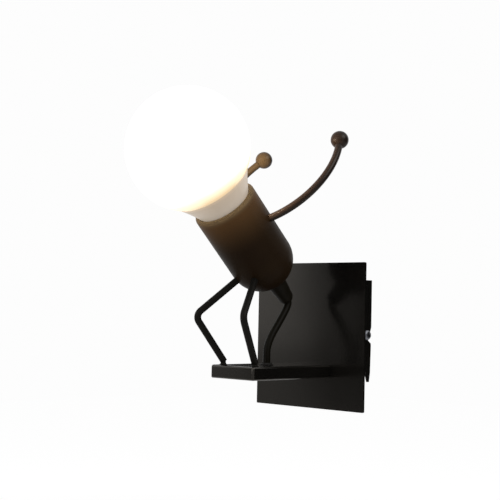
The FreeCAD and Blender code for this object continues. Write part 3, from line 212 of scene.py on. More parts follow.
# %% [markdown]
# ## Metals inside and at the back
# The wall strap has the plate's enamel. Screws, nuts and washers are steel with bright zinc
# plating, which in use dulls to a slightly blue grey with soft streaks. The terminals are
# turned brass, the holder's sleeve is brass with nickel plating, and the bulb's cap is tinned
# sheet. One function makes all four, as bare metals differ only in colour and polish. Their
# grain is drawn several times coarser than plating or turning leaves it, or it wouldn't show.

# %% Metals
GRAIN_DEPTH = 0.00001


def plated(name, colour, second, rough, grain):
    """A metal with slow tarnish, and fine streaks in its polish."""
    return two_tone_finish(name, (colour, second), grain * 6, 4.0, grain, GRAIN_DEPTH,
                           (rough * 0.75, rough * 1.25), False, Metallic=1.0)


zinc = plated("bright_zinc_on_steel", "#6c6e72", "#5c5e63", 0.38, 0.0008)
brass = plated("turned_brass", "#d8b76a", "#c49f55", 0.24, 0.0006)
nickel = plated("nickel_on_brass", "#d5d0c6", "#c3beb3", 0.20, 0.0007)
cap_metal = plated("tinned_cap_metal", "#c7c8c8", "#b2b4b5", 0.30, 0.0007)
print("metals:", zinc.name, brass.name, nickel.name, cap_metal.name)

# %% [markdown]
# ## Moulded, rubber and sheathed parts
# The lamp holder is moulded phenolic, a hard brown-black resin with a faint mottle. The cord
# grip is satin nylon, rubber is matt and slightly dusty, the flex and its cores have smooth
# extruded sheaths, and the cap's insulator is black glass. All are one even mass with a fine
# grain, so they have the metals' layers, with a grain as coarse and less swing in roughness.

# %% Plastics and rubber
def moulded(name, colour, second, rough, grain, gloss=0.5):
    """A plastic with a slow mottle and a fine grain."""
    return two_tone_finish(name, (colour, second), grain * 8, 4.0, grain, GRAIN_DEPTH,
                           (rough * 0.9, rough * 1.1), False, IOR=1.5,
                           Specular_IOR_Level=gloss)


phenolic = moulded("moulded_phenolic", "#1d1714", "#271d18", 0.28, 0.0012)
grip_nylon = moulded("black_nylon", "#14110b", "#100d08", 0.48, 0.0006, gloss=0.05)
rubber = moulded("black_rubber", "#151412", "#1a1917", 0.62, 0.0005, gloss=0.12)
sheath = moulded("black_flex_sheath", "#0e0c07", "#110f09", 0.42, 0.0007, gloss=0.05)
live_sheath = moulded("brown_core_sheath", "#6b4128", "#5d3823", 0.38, 0.0005)
neutral_sheath = moulded("blue_core_sheath", "#2f65a8", "#2a5b98", 0.38, 0.0005)
clear_nylon = moulded("natural_nylon", "#e3ded0", "#d8d2c2", 0.40, 0.0010)
chip_glass = moulded("black_chip_case", "#18181a", "#202023", 0.25, 0.0005)
part_case = moulded("capacitor_and_coil_case", "#3a3f52", "#2f3444", 0.35, 0.0008)
phosphor = moulded("yellow_phosphor", "#e9c74a", "#e2b93a", 0.5, 0.0003)
print("plastics:", phenolic.name, grip_nylon.name, rubber.name, sheath.name)

# %% [markdown]
# An earth core has a green sheath with yellow stripes along it. A core of a few centimetres
# needs only the two tones round it, so a wave across the object's coordinates is enough.
#
# A circuit board is woven glass in resin under a lacquer. The weave is about a millimetre
# wide and shows faintly through the colour. A brick pattern has the same crossing rows.

# %% Striped core and circuit boards
WEAVE = 1 / 1200
CORE_GRAIN = 0.0005


def striped(name, colour, stripe, width):
    """Two colours in bands that repeat at the given width. The wave texture runs at 20
    radians a unit, so its scale is 2 pi / 20 / width, or 0.314 / width."""
    material, tree, shader = new_material(name, Roughness=0.38, IOR=1.5)
    where = add(tree, "TexCoord").outputs["Object"]
    bands = add(tree, "TexWave", {"bands_direction": "X"}, Vector=where, Scale=0.314 / width)
    share = add(tree, "MapRange", Value=bands.outputs["Fac"], From_Min=0.45, From_Max=0.55)
    grain = add(tree, "TexNoise", Vector=where, Scale=0.5 / CORE_GRAIN)
    tone_and_relief(tree, shader, share.outputs["Result"], (colour, stripe),
                    grain.outputs["Fac"], GRAIN_DEPTH)
    return material


def circuit_board(name, colour, second):
    """Lacquered board with a woven-glass grid in its colour and bump. A row of bricks is a
    quarter of the texture's unit, so the scale is 0.25 / WEAVE."""
    material, tree, shader = new_material(name, Roughness=0.35, IOR=1.5)
    where = add(tree, "TexCoord").outputs["Object"]
    weave = add(tree, "TexBrick", Vector=where, Scale=0.25 / WEAVE).outputs["Fac"]
    tone_and_relief(tree, shader, weave, (colour, second), weave, GRAIN_DEPTH)
    return material


earth_sheath = striped("green_and_yellow_core", "#3d8b3a", "#e2c92f", 0.0016)
white_board = circuit_board("white_chip_board", "#ece9e0", "#e2ded3")
green_board = circuit_board("green_driver_board", "#2c6e3f", "#255f36")
print("boards:", white_board.name, green_board.name)

# %% [markdown]
# ## The cup's axis and the bulb on it
# The cup, the holder and the bulb share one axis, which leans forward at 45 degrees. Heights
# run outwards along it from the cup's mouth, and GLOBE_HEIGHT is that of the globe's centre.
# A colour that changes along the bulb could be painted by hand, but a height worked out in
# the material is exact.

# %% The cup's axis
MOUTH = np.array([0, -0.1208, 0.0761])
TILT = np.sqrt(0.5)
ACROSS, BACK, UP = np.eye(3)
UP_BACK = np.array([0, TILT, TILT])
OUT = np.array([0, -TILT, TILT])
GLOBE_RADIUS = 0.0475
GLOBE_HEIGHT = 0.0533
SEAM_RADIUS = 0.0330
SEAM = GLOBE_HEIGHT - np.sqrt(GLOBE_RADIUS ** 2 - SEAM_RADIUS ** 2)


def rise_on_bulb(tree, low, high, easing="LINEAR"):
    """How far up a point is between two heights along the bulb's axis, from 0 to 1. Its
    height is the point less the cup's mouth, dotted with the axis, in metres."""
    where = add(tree, "TexCoord").outputs["Object"]
    offset = add(tree, "VectorMath", {"operation": "SUBTRACT"}, _0=where, _1=MOUTH.tolist())
    height = add(tree, "VectorMath", {"operation": "DOT_PRODUCT"},
                 _0=offset.outputs["Vector"], _1=OUT.tolist())
    return add(tree, "MapRange", {"interpolation_type": easing}, From_Min=low, From_Max=high,
               Value=height.outputs["Value"]).outputs["Result"]


print("seam", round(SEAM * 1000, 1), "mm above the mouth")

# %% [markdown]
# ## Opal glass that glows and a moulded ivory collar
# The globe is opal: its wall scatters the light of the chips inside, so it looks evenly white
# with no visible lamp. Real light through it would take thousands of samples, and an even
# glow of its surface looks the same. The glass is yellower in a narrow band at the seam,
# where light comes through the collar's edge. The collar is ivory polycarbonate with a faint
# painted glow, brighter towards the seam, which stands for the globe's light falling on it.
# Both glow without being sampled as lamps, which would leave grain on the cup. Small lamps
# inside the globe light the pieces round it.

# %% Bulb materials
BAND, COLLAR_DIM = 0.018, -0.004
GLASS_RIPPLE, RIPPLE_DEPTH = 0.002, 0.000005
COLLAR_MOTTLE, COLLAR_GRAIN, COLLAR_DEPTH = 0.006, 0.0008, 0.000008


def lamp_light_and_painted_glow(material, shader, rise, tones):
    """Makes a wall glow in the given paints, at each part of the rise from 0 to 1. On the globe
    that is the lamp's own light, and on the collar a painted glow.
    """
    glow = add(material.node_tree, "ValToRGB", Fac=rise)
    elements = glow.color_ramp.elements
    elements[0].color, elements[1].color = paint(tones[0]), paint(tones[1])
    for part in sorted(set(tones) - {0, 1}):
        elements.new(part).color = paint(tones[part])
    fill(shader, Emission_Color=glow.outputs["Color"])
    material.cycles.emission_sampling = "NONE"


def opal_glass():
    """White glass that glows, with a yellower band above the seam and a faint ripple."""
    material, tree, shader = new_material("opal_glass", Roughness=0.22, IOR=1.5,
                                          Emission_Strength=1.0)
    above_seam = rise_on_bulb(tree, SEAM, SEAM + BAND)
    where = add(tree, "TexCoord").outputs["Object"]
    ripple = add(tree, "TexNoise", Vector=where, Scale=0.5 / GLASS_RIPPLE)
    tone_and_relief(tree, shader, above_seam, ("#8a7658", "#f4efe4"), ripple.outputs["Fac"],
                    RIPPLE_DEPTH)
    lamp_light_and_painted_glow(material, shader, above_seam, {
        0: "#cdb694", 0.12: "#dfc49a", 0.3: "#efd6ae", 0.55: "#f8e8c4", 0.8: "#fef8e0",
        1: "#ffffff"})
    return material


def ivory_collar():
    """Ivory plastic with a fine mottle, and a painted glow for the globe's light on it, which is
    brighter towards the seam.
    """
    material, tree, shader = new_material("ivory_polycarbonate", Roughness=0.34, IOR=1.5,
                                          Specular_IOR_Level=0.25, Emission_Strength=0.36)
    where = add(tree, "TexCoord").outputs["Object"]
    mottle = add(tree, "TexNoise", Vector=where, Scale=0.5 / COLLAR_MOTTLE, Detail=3.0)
    grain = add(tree, "TexNoise", Vector=where, Scale=0.5 / COLLAR_GRAIN)
    tone_and_relief(tree, shader, mottle.outputs["Fac"], ("#b0a396", "#a79b8d"),
                    grain.outputs["Fac"], COLLAR_DEPTH)
    # The collar's glow is painted light: the globe's light on it, strongest at the seam.
    lamp_light_and_painted_glow(material, shader, rise_on_bulb(tree, COLLAR_DIM, SEAM),
                    {0: "#b0aa9f", 0.85: "#cdb89d", 1: "#f5d4aa"})
    return material


opal = opal_glass()
ivory = ivory_collar()
print("bulb:", opal.name, ivory.name)

# %% [markdown]
# ## Grids, rounded outlines and pieces
# A turned or bent piece is a grid of points: rows along its profile or path, columns round
# its section. Neighbouring points make the faces, and at a pole the columns meet in one
# point, which is merged. Whole-array formulas give the points, which is quick and shows the
# shape's rule in one line.

# %% Grid helpers
CURVE_STEPS = 6


def grid_faces(rows, columns, close_rows=False):
    """Quads between neighbours of a rows by columns grid that closes on itself round the
    columns, and down the rows as well where asked."""
    row = np.arange(rows if close_rows else rows - 1)[:, None]
    column = np.arange(columns)[None, :]
    below, beside = (row + 1) % rows, (column + 1) % columns
    corners = [row * columns + column, row * columns + beside, below * columns + beside,
               below * columns + column]
    return np.stack(corners, axis=-1).reshape(-1, 4)


def softened(outline, radius, closed=True):
    """Rounds every corner P of an outline. The curve runs from S to E, a radius before and
    after P or at most 0.45 of the side: (1 - t)^2 S + 2 t (1 - t) P + t^2 E."""
    corner = np.asarray(outline, float)
    to_before = np.roll(corner, 1, axis=0) - corner
    to_after = np.roll(corner, -1, axis=0) - corner
    reach = np.full(len(corner), radius)
    if not closed:
        reach[[0, -1]] = 0
    ends = []
    for side in (to_before, to_after):
        length = np.linalg.norm(side, axis=1) + 1e-12
        ends.append(corner + side * (np.minimum(reach, 0.45 * length) / length)[:, None])
    t = np.linspace(0, 1, CURVE_STEPS)[None, :, None]
    curve = ((1 - t) ** 2 * ends[0][:, None] + 2 * t * (1 - t) * corner[:, None]
             + t ** 2 * ends[1][:, None])
    return curve.reshape(-1, corner.shape[1])


def arc(centre, radius, start, end, count):
    """Points (radius cos a, centre + radius sin a) on a circle about the axis point at the
    given height, for angles a from start to end in degrees."""
    a = np.radians(np.linspace(start, end, count))
    return np.column_stack([radius * np.cos(a), centre + radius * np.sin(a)])


print("a ring of 4 by 3 points has", len(grid_faces(4, 3, True)), "faces")

# %% [markdown]
# The grids of a piece go into one mesh. Merging its doubles closes the seams and poles, its
# faces are turned outwards, and only edges over a set angle stay sharp. Blender's Screw
# modifier could turn a profile too, but not with a thread's wave on it. Each piece is then
# hung on the body it moves with, gets its finish, and hides the solid it stands for.

# %% Pieces and turned shapes
MERGE, DEGENERATE, ON_AXIS = 2e-6, 1e-7, 1e-7
HEAD = (MOUTH, ACROSS, UP_BACK, OUT)


def make_piece(name, grids, body, finish, node, crease=32):
    """Puts grids of points and their faces into one mesh, merges the doubles, turns the
    faces outwards, and sets the piece on its body with its finish, in the node's place."""
    points, faces, count = [], [], 0
    for grid, quads in grids:
        points.append(grid.reshape(-1, 3))
        faces.append(quads + count)
        count += len(points[-1])
    mesh = bpy.data.meshes.new(name)
    mesh.from_pydata(np.vstack(points).tolist(), [], np.vstack(faces).tolist())
    work = bmesh.new()
    work.from_mesh(mesh)
    bmesh.ops.remove_doubles(work, verts=work.verts, dist=MERGE)
    bmesh.ops.dissolve_degenerate(work, edges=work.edges, dist=DEGENERATE)
    bmesh.ops.recalc_face_normals(work, faces=work.faces)
    work.to_mesh(mesh)
    work.free()
    mesh.shade_smooth()
    mesh.set_sharp_from_angle(angle=np.radians(crease))
    mesh.materials.append(finish)
    piece = new_object(name, mesh)
    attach(piece, body)
    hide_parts(node)
    print(name, len(mesh.polygons), "faces on", body)
    return piece


def revolve(profile, basis=HEAD, sides=96, closed=True, wave=None):
    """Turns (radius r, height h) points about an axis: base + r (cos a across + sin a up) +
    h axis. A wave gives what is added to r at each angle and height. A profile that isn't
    closed ends at the radius ON_AXIS, where the points merge, or is an open sheet."""
    profile = np.asarray(profile, float)
    base, across, up, axis = basis
    a = np.linspace(0, 2 * np.pi, sides, endpoint=False)[None, :]
    r, h = profile[:, :1], profile[:, 1:]
    r = r + (wave(a, h) if wave else 0 * a)
    grid = (base + (r * np.cos(a))[..., None] * across + (r * np.sin(a))[..., None] * up
            + (h + 0 * a)[..., None] * axis)
    return grid, grid_faces(len(profile), sides, close_rows=closed)


print("a turned line of 5 points has", len(revolve(np.eye(5, 2), closed=False)[1]), "faces")

# %% [markdown]
# ## Lamp cup
# The cup is spun: a disc of steel is pressed over a turning former, which gives a thin wall, a
# round bottom and a rim that is rolled slightly. A sphere and a cylinder joined would show a
# seam, so the whole wall is one outline, turned about the axis: out of the tube's hole, up the
# outside, round the rim, and down the inside. The bulb's light makes the paint look brown
# near the mouth. The lamps of the last step give part of that, and the rest is painted light:
# the paint is blended to a paler brown there, by its height on the axis.

# %% Lamp cup
CUP_RADIUS, CUP_WALL, CUP_STRAIGHT, TUBE_HOLE = 0.026, 0.0012, 0.0600, 0.0051
LIP_RADIUS, LIP_EDGE = 0.0030, 0.0001


def bowl_end(radius):
    """Where a hemisphere of that radius meets the tube's hole, in degrees below level."""
    return -np.degrees(np.arccos(TUBE_HOLE / radius))


bore = CUP_RADIUS - CUP_WALL
opening = CUP_RADIUS - LIP_RADIUS
outside = arc(-CUP_STRAIGHT, CUP_RADIUS, bowl_end(CUP_RADIUS), 0, 40)
walls = np.linspace(-CUP_STRAIGHT, -LIP_RADIUS, 24)[1:-1]
outer_lip = arc(-LIP_RADIUS, LIP_RADIUS, 0, 90, 12) + [opening, 0]
inner_lip = arc(-LIP_RADIUS, LIP_RADIUS - CUP_WALL, 90, 0, 8) + [opening, 0]
inside = arc(-CUP_STRAIGHT, bore, 0, bowl_end(bore), 32)


def paint_bulb_light_on_rim(material, tone, depth):
    """Paints the bulb's warm light on the cup: blends the paint to a paler tone over that depth
    below the mouth.
    """
    tree = material.node_tree
    base = tree.nodes["Principled BSDF"].inputs["Base Color"]
    blend = add(tree, "Mix", {"data_type": "RGBA"}, _0=rise_on_bulb(tree, -depth, 0, "SMOOTHSTEP"),
                _6=base.links[0].from_socket, _7=paint(tone))
    tree.links.new(blend.outputs[2], base)


# Painted light: the bulb's warm glow, over 36 mm below the mouth and stronger in the last 6 mm.
paint_bulb_light_on_rim(cup_enamel_warmed_by_painted_light, "#3e2c1a", 0.036)
paint_bulb_light_on_rim(cup_enamel_warmed_by_painted_light, "#463b2c", 0.006)
cup_profile = np.vstack([
    outside, np.column_stack([np.full_like(walls, CUP_RADIUS), walls]), outer_lip,
    [[opening - LIP_EDGE, -LIP_EDGE], [opening - LIP_EDGE, LIP_EDGE - CUP_WALL]], inner_lip,
    np.column_stack([np.full_like(walls, bore), walls[::-1]]), inside])
make_piece("lamp_cup_spun", [revolve(cup_profile, sides=144)], "fixture",
           cup_enamel_warmed_by_painted_light, "lamp_cup", crease=50)

# %% [markdown]
# ## Arms and hands
# Each arm is one rod, straight for a millimetre at the shoulder and then bent on a roller to
# a single radius, so its centre line is an arc. A section circle is carried along it, held
# square to the line. The rod's ends are rounded by narrowing the circle over the last
# half-millimetre. At the shoulder a threaded stud goes through the cup's wall into its lock
# nut. The stud inside the ball isn't drawn, as nobody sees it.

# %% Arms
ARM_ROD, ARM_STRAIGHT, ARM_BEND = 0.0030, 0.0010, 0.0623
ARM_ARC, ROD_SIDES, ROUND_OFF = 86.7, 32, 0.0004
SHOULDER, SHOULDER_DEPTH, SHOULDER_TURN = 0.0262, 0.02895, 30.8
RIGHT_LIFT, LEFT_LIFT = 9.2, -3.2
STUD_RADIUS, THREAD_PITCH, THREAD_DEPTH = 0.0020, 0.0007, 0.00005
ARM_STUD = 0.0194, SHOULDER, 60
HAND_RADIUS, HAND_EDGE = 0.0072, 0.0003
SEAT = np.sqrt(HAND_RADIUS ** 2 - ARM_ROD ** 2)
ARM_TURN = np.radians(ARM_ARC) - SEAT / ARM_BEND


def turned_about(axis, degrees):
    """The matrix of a turn about the x, y or z axis."""
    return np.array(Matrix.Rotation(np.radians(degrees), 3, axis))


def arm_axes(lift, side):
    """The arm's origin and its three directions as rows: along its stud, along its bend, and
    square to both, turned up by lift and round to the stud's place on the cup."""
    local = turned_about("Z", SHOULDER_TURN) @ turned_about("X", lift)
    head = np.column_stack([ACROSS, UP_BACK, OUT])
    return MOUTH - SHOULDER_DEPTH * OUT, (head @ local).T * np.array([side, 1, 1])


def carried(line, direction, square, radii):
    """Carries a circle along a line in a plane: line + radius (cos a square + sin a (square
    x direction)). Square is the plane's normal. A point at either end closes the rod."""
    line, direction = (np.vstack([v[0], v, v[-1]]) for v in (line, direction))
    radii = np.concatenate([[ON_AXIS], radii, [ON_AXIS]])
    a = np.linspace(0, 2 * np.pi, ROD_SIDES, endpoint=False)
    other = np.cross(np.broadcast_to(square, direction.shape), direction)
    ring = np.cos(a)[None, :, None] * square + np.sin(a)[None, :, None] * other[:, None]
    grid = line[:, None] + radii[:, None, None] * ring
    return grid, grid_faces(len(line), ROD_SIDES)


def rounded_ends(along, radius):
    """The section's radius at each distance along a rod, less a quarter circle of ROUND_OFF
    at both ends."""
    edge = np.minimum(along, along[-1] - along)
    short = np.clip(1 - edge / ROUND_OFF, 0, 1)
    return radius - ROUND_OFF * (1 - np.sqrt(1 - short ** 2))


def threaded(low, high, rows):
    """A stud's profile. Its radius falls by twice THREAD_DEPTH and rises again with each
    THREAD_PITCH, and it is closed at both ends."""
    heights = np.linspace(low, high, rows)
    wavy = STUD_RADIUS - THREAD_DEPTH * (1 - np.cos(2 * np.pi * heights / THREAD_PITCH))
    return np.vstack([[ON_AXIS, low], np.column_stack([wavy, heights]), [ON_AXIS, high]])


def arm(name, lift, side, body, node):
    """The bent rod and its shoulder stud, from inside the nut out to the shoulder."""
    origin, (stud, bend, square) = arm_axes(lift, side)
    length = ARM_STRAIGHT + ARM_BEND * ARM_TURN
    tips = ROUND_OFF * np.array([0, 0.1, 0.3, 0.625, 1])
    middle = np.linspace(1.5 * ROUND_OFF, length - 1.5 * ROUND_OFF, 72)
    along = np.concatenate([tips, middle, length - tips[::-1]])
    angle = np.clip(along - ARM_STRAIGHT, 0, None) / ARM_BEND
    x = SHOULDER + np.minimum(along, ARM_STRAIGHT) + ARM_BEND * np.sin(angle)
    y = ARM_BEND * (1 - np.cos(angle))
    line = origin + x[:, None] * stud + y[:, None] * bend
    direction = np.cos(angle)[:, None] * stud + np.sin(angle)[:, None] * bend
    rod = carried(line, direction, square, rounded_ends(along, ARM_ROD))
    inner = revolve(threaded(*ARM_STUD), (origin, bend, square, stud), 24, False)
    make_piece(name, [rod, inner], body, arm_enamel_warmed_by_painted_light, node)


arm("right_arm_rod", RIGHT_LIFT, 1, "right_arm_body", "right_arm")
arm("left_arm_rod", LEFT_LIFT, -1, "left_arm_body", "left_arm")

# %% [markdown]
# A hand is a ball turned on a lathe, with a small flat where the rod stops. A ready-made
# sphere has no flat, so a circle cut off at the seat is turned about the rod's end direction.
# The flat's edge is broken a little, as a turner does with a file.

# %% Hands
def hand(name, lift, side, body, node):
    """A ball on the end of the arm with the same lift and side."""
    origin, (stud, bend, square) = arm_axes(lift, side)
    end = (origin + (SHOULDER + ARM_STRAIGHT + ARM_BEND * np.sin(ARM_TURN)) * stud
           + ARM_BEND * (1 - np.cos(ARM_TURN)) * bend)
    axis = np.cos(ARM_TURN) * stud + np.sin(ARM_TURN) * bend
    across = np.cross(square, axis)
    low = np.degrees(np.arcsin(-SEAT / HAND_RADIUS))
    ball = arc(SEAT, HAND_RADIUS, 90, low, 44)
    ball[0, 0] = ON_AXIS
    flat = softened([ball[-2], ball[-1], [ON_AXIS, 0]], HAND_EDGE, closed=False)
    profile = np.vstack([ball[:-1], flat])
    make_piece(name, [revolve(profile, (end, across, square, axis), 64, False)], body,
               arm_enamel_warmed_by_painted_light, node)


hand("right_hand_ball", RIGHT_LIFT, 1, "right_arm_body", "right_hand")
hand("left_hand_ball", LEFT_LIFT, -1, "left_arm_body", "left_hand")

# %% [markdown]
# ## Legs
# A leg is one rod too: square to the cup at the hip, bent at the knee, and down to the foot,
# where a threaded end passes through the shelf. The rod starts just inside the cup's wall,
# and a threaded stud goes on from there into its nut. A fillet of weld and paint gathers
# round the foot, drawn as a bead with a hollow cone's outline. The knee is an arc between two
# straight runs, as a bending tool makes it.

# %% Legs
LEG_ROD, KNEE_BEND, BEND_STEPS = 0.00275, 0.0066, 24
SHELF_TOP = -0.0508
HIP_DEPTH, HIP_START, KNEE_OUT = 0.0609, 0.0251, 0.0696
HIP_BASE = MOUTH - HIP_DEPTH * OUT
HIP_TURN = np.radians(-67.1)
HIP_OUT = np.cos(HIP_TURN) * ACROSS + np.sin(HIP_TURN) * UP_BACK
ANKLE_HEIGHT, TOE = 0.0033, 0.0008
ANKLE = np.array([0.0177, -0.1002, SHELF_TOP + ANKLE_HEIGHT])
FOOT_STUD, HIP_STUD = (-0.0059, 0.0002, 104), (0.0196, 0.0272, 130)
BEAD = [[ON_AXIS, 0], [0.0032, 0], [0.0032, 0.0002], [0.0026, 0.0006], [0.0021, 0.0014],
        [0.0020, 0.0036], [ON_AXIS, 0.0036]]


def bent_line(points, radius):
    """Straight runs through three points with an arc at the middle one. The arc starts
    radius / tan(half the angle) before the corner and is turned about its centre."""
    start, corner, end = points
    back = (start - corner) / np.linalg.norm(start - corner)
    ahead = (end - corner) / np.linalg.norm(end - corner)
    half = np.arccos(back @ ahead) / 2
    reach = radius / np.tan(half)
    inward = (back + ahead) / np.linalg.norm(back + ahead)
    centre = corner + inward * radius / np.sin(half)
    turn = np.linspace(-1, 1, BEND_STEPS)[:, None] * (np.pi / 2 - half)
    side = (ahead - back) / np.linalg.norm(ahead - back)
    curve = centre - radius * np.cos(turn) * inward + radius * np.sin(turn) * side
    curve_way = radius * np.sin(turn) * inward + radius * np.cos(turn) * side
    t = np.linspace(0, 1, BEND_STEPS)[:, None]
    first = start + t * (corner + back * reach - start)
    last = corner + ahead * reach + t * (end - corner - ahead * reach)
    line = np.vstack([first, curve[1:-1], last])
    way = np.vstack([np.tile(-back, (BEND_STEPS, 1)), curve_way[1:-1],
                     np.tile(ahead, (BEND_STEPS, 1))])
    square = np.cross(-back, ahead)
    return line, way / np.linalg.norm(way, axis=1)[:, None], square / np.linalg.norm(square)


def leg(name, side, node):
    """A leg on the given side: its rod, its weld bead, and its studs at foot and hip."""
    mirror = np.array([side, 1, 1])
    hip = (HIP_BASE + HIP_START * HIP_OUT) * mirror
    knee = (HIP_BASE + KNEE_OUT * HIP_OUT) * mirror
    ankle = ANKLE * mirror
    toe = ankle + (ankle - knee) / np.linalg.norm(ankle - knee) * TOE
    line, way, square = bent_line([hip, knee, toe], KNEE_BEND)
    rod = carried(line, way, square, np.full(len(line), LEG_ROD))
    upright = (np.array([ankle[0], ankle[1], SHELF_TOP]), ACROSS, BACK, UP)
    along_hip = (HIP_BASE * mirror, OUT, np.cross(HIP_OUT * mirror, OUT), HIP_OUT * mirror)
    turned = [(softened(BEAD, 0.0002, closed=False), upright, 48),
              (threaded(*FOOT_STUD), upright, 24), (threaded(*HIP_STUD), along_hip, 24)]
    make_piece(name, [rod] + [revolve(*what, closed=False) for what in turned], "fixture",
               leg_enamel, node)


leg("right_leg_rod", 1, "right_leg")
leg("left_leg_rod", -1, "left_leg")

# %% [markdown]
# ## Cord grip
# Under the cup a moulded grip screws onto the tube's end and tapers to a bevelled nose, where
# the flex comes out. Its outline is turned with small roundings, as moulding leaves them. A
# cone and a cylinder joined would meet in a hard ring instead.

# %% Cord grip
POLE = -0.0860
GRIP_LOW = POLE - 0.0195
grip_outline = [[0.0033, GRIP_LOW + 0.0014], [0.0040, GRIP_LOW], [0.0045, GRIP_LOW],
                [0.0060, GRIP_LOW + 0.0025], [0.0081, POLE + 0.0012], [0.0051, POLE + 0.0002],
                [0.0051, POLE - 0.0085], [0.0033, POLE - 0.0090]]
make_piece("cord_grip_moulded", [revolve(softened(grip_outline, 0.0003), sides=72)], "fixture",
           grip_nylon, "cord_grip")

# %% [markdown]
# ## Flex
# The flex is a stranded cable in a round black sheath. It leaves the grip, turns sharply
# down, and stands in a slow bow to the shelf's bush, because it is stiff for its length. A
# NURBS curve along a few listed points bends as a cable does, where arcs and straight
# runs would look like bent wire. A round bevel gives it its thickness.

# %% Flex
FLEX_RADIUS = 0.0030
BUSH_Y = -0.0692
TRAY_RUN = SHELF_TOP - 0.0058


def on_axis(height):
    """The point on the cup's axis at that height above its mouth."""
    return MOUTH + height * OUT


turn_down = on_axis(GRIP_LOW - 0.0022)
flex_points = np.array([
    on_axis(-0.0530), on_axis(-0.0800), on_axis(GRIP_LOW + 0.0030), turn_down,
    turn_down + [0, -0.0054, -0.0093], [0, BUSH_Y - 0.0003, SHELF_TOP + 0.0173],
    [0, BUSH_Y, SHELF_TOP + 0.0020], [0, BUSH_Y, SHELF_TOP - 0.0054],
    [0, BUSH_Y + 0.0052, TRAY_RUN], [0, -0.0145, TRAY_RUN]])
flex_curve = bpy.data.curves.new("flex_cable", "CURVE")
flex_curve.dimensions = "3D"
spline = flex_curve.splines.new("NURBS")
spline.points.add(len(flex_points) - 1)
spline.points.foreach_set("co", np.column_stack([flex_points, np.ones(len(flex_points))]).ravel())
spline.order_u = 3
spline.use_endpoint_u = True
spline.resolution_u = 12
flex_curve.bevel_depth = FLEX_RADIUS
flex_curve.bevel_resolution = 6
flex_curve.use_fill_caps = True
flex_curve.materials.append(sheath)
flex_cable = new_object("flex_cable", flex_curve)
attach(flex_cable, "fixture")
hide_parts("flex")
print("flex length", round(spline.calc_length() * 1000, 1), "mm")

# %% [markdown]
# ## Rubber bushes
# Where a cable goes through sheet metal, a soft bush keeps the edge off it: in the shelf, in
# the plate, and in the strap for the house's cable. Each is a moulded ring, so it is a turned
# outline. The shelf's bush has a small flared collar on top that closes on the flex.

# %% Bushes
SHELF_BUSH = [[0.0036, -0.0013], [0.0041, -0.0023], [0.0051, -0.0023], [0.0051, -0.0015],
              [0.0045, -0.0015], [0.0045, 0], [0.0055, 0], [0.0055, 0.0006],
              [0.0046, 0.0010], [0.0041, 0.0018], [0.0036, 0.0018]]
PLATE_BUSH = [[0.00315, -0.0030], [0.0041, -0.0030], [0.0041, 0], [0.0054, 0],
              [0.0054, 0.0015], [0.00315, 0.0015]]
CABLE_BUSH = [[0.0045, -0.0035], [0.0075, -0.0035], [0.0075, -0.0015], [0.0060, -0.0015],
              [0.0060, 0], [0.0045, 0]]
for name, node, outline, rounding, basis, sides in (
        ("shelf_bush_rubber", "shelf_grommet", SHELF_BUSH, 0.0002,
         (np.array([0, BUSH_Y, SHELF_TOP]), ACROSS, BACK, UP), 56),
        ("plate_bush_rubber", "plate_grommet", PLATE_BUSH, 0.0003,
         (np.array([0, -0.0185, TRAY_RUN]), UP, ACROSS, BACK), 56),
        ("cable_bush_rubber", "cable_bush", CABLE_BUSH, 0.0004,
         (np.zeros(3), UP, ACROSS, BACK), 64)):
    make_piece(name, [revolve(softened(outline, rounding), basis, sides)], "fixture",
               rubber, node)

# %% [markdown]
# ## Bulb: globe and collar
# The globe is blown into a round mould and glued on the collar at the seam. Its wall has an
# inside too, so that a cut through it looks right. The collar is a thin moulded cone with a
# hollow curve, from the seam down into the cup, with a ledge inside that carries the board of
# light chips. Both are turned outlines.

# %% Globe and collar
def limb(radius):
    """The angle at which a sphere of that radius about the globe's centre meets the seam."""
    return np.degrees(np.arcsin((SEAM - GLOBE_HEIGHT) / radius))


GLASS = 0.0012
inner_radius = GLOBE_RADIUS - GLASS
outer_glass = arc(GLOBE_HEIGHT, GLOBE_RADIUS, limb(GLOBE_RADIUS), 90, 72)
inner_glass = arc(GLOBE_HEIGHT, inner_radius, 90, limb(inner_radius), 60)
outer_glass[-1, 0] = inner_glass[0, 0] = ON_AXIS
glass = np.vstack([outer_glass, inner_glass])
make_piece("opal_globe", [revolve(glass, sides=144)], "bulb", opal,
           "bulb_globe", crease=60)


def through(points, count):
    """A smooth line through three points: the parabola P0 (1-t)(1-2t) + 4 P1 t (1-t) +
    P2 t (2t-1)."""
    p0, p1, p2 = np.asarray(points, float)
    t = np.linspace(0, 1, count)[:, None]
    return p0 * (1 - t) * (1 - 2 * t) + 4 * p1 * t * (1 - t) + p2 * t * (2 * t - 1)


COLLAR_MOUTH = 0.0226
FOOT, NECK, WALL = -0.0095, 0.01805, 0.0015
WAIST = (NECK + COLLAR_MOUTH) / 2 + 0.0004
MIDDLE = (SEAM_RADIUS + COLLAR_MOUTH) / 2 - 0.0005
LEDGE, LEDGE_BORE, LEDGE_THICK = SEAM - 0.0056, 0.0230, 0.0020
lower = through([[NECK, FOOT + 0.0015], [WAIST, -0.0032], [COLLAR_MOUTH, 0]], 12)
upper = through([[COLLAR_MOUTH, 0], [MIDDLE, SEAM / 2], [SEAM_RADIUS, SEAM]], 40)
outer_wall = np.vstack([[0.0170, FOOT], lower, upper[1:]])
inner_wall = outer_wall[::-1] - [WALL, 0]
inner_wall[-1] = [0.0122, FOOT]
wall_at = np.interp(LEDGE, inner_wall[::-1, 1], inner_wall[::-1, 0])
above = inner_wall[inner_wall[:, 1] > LEDGE + 0.0002]
under = inner_wall[inner_wall[:, 1] < LEDGE - LEDGE_THICK - 0.0002]
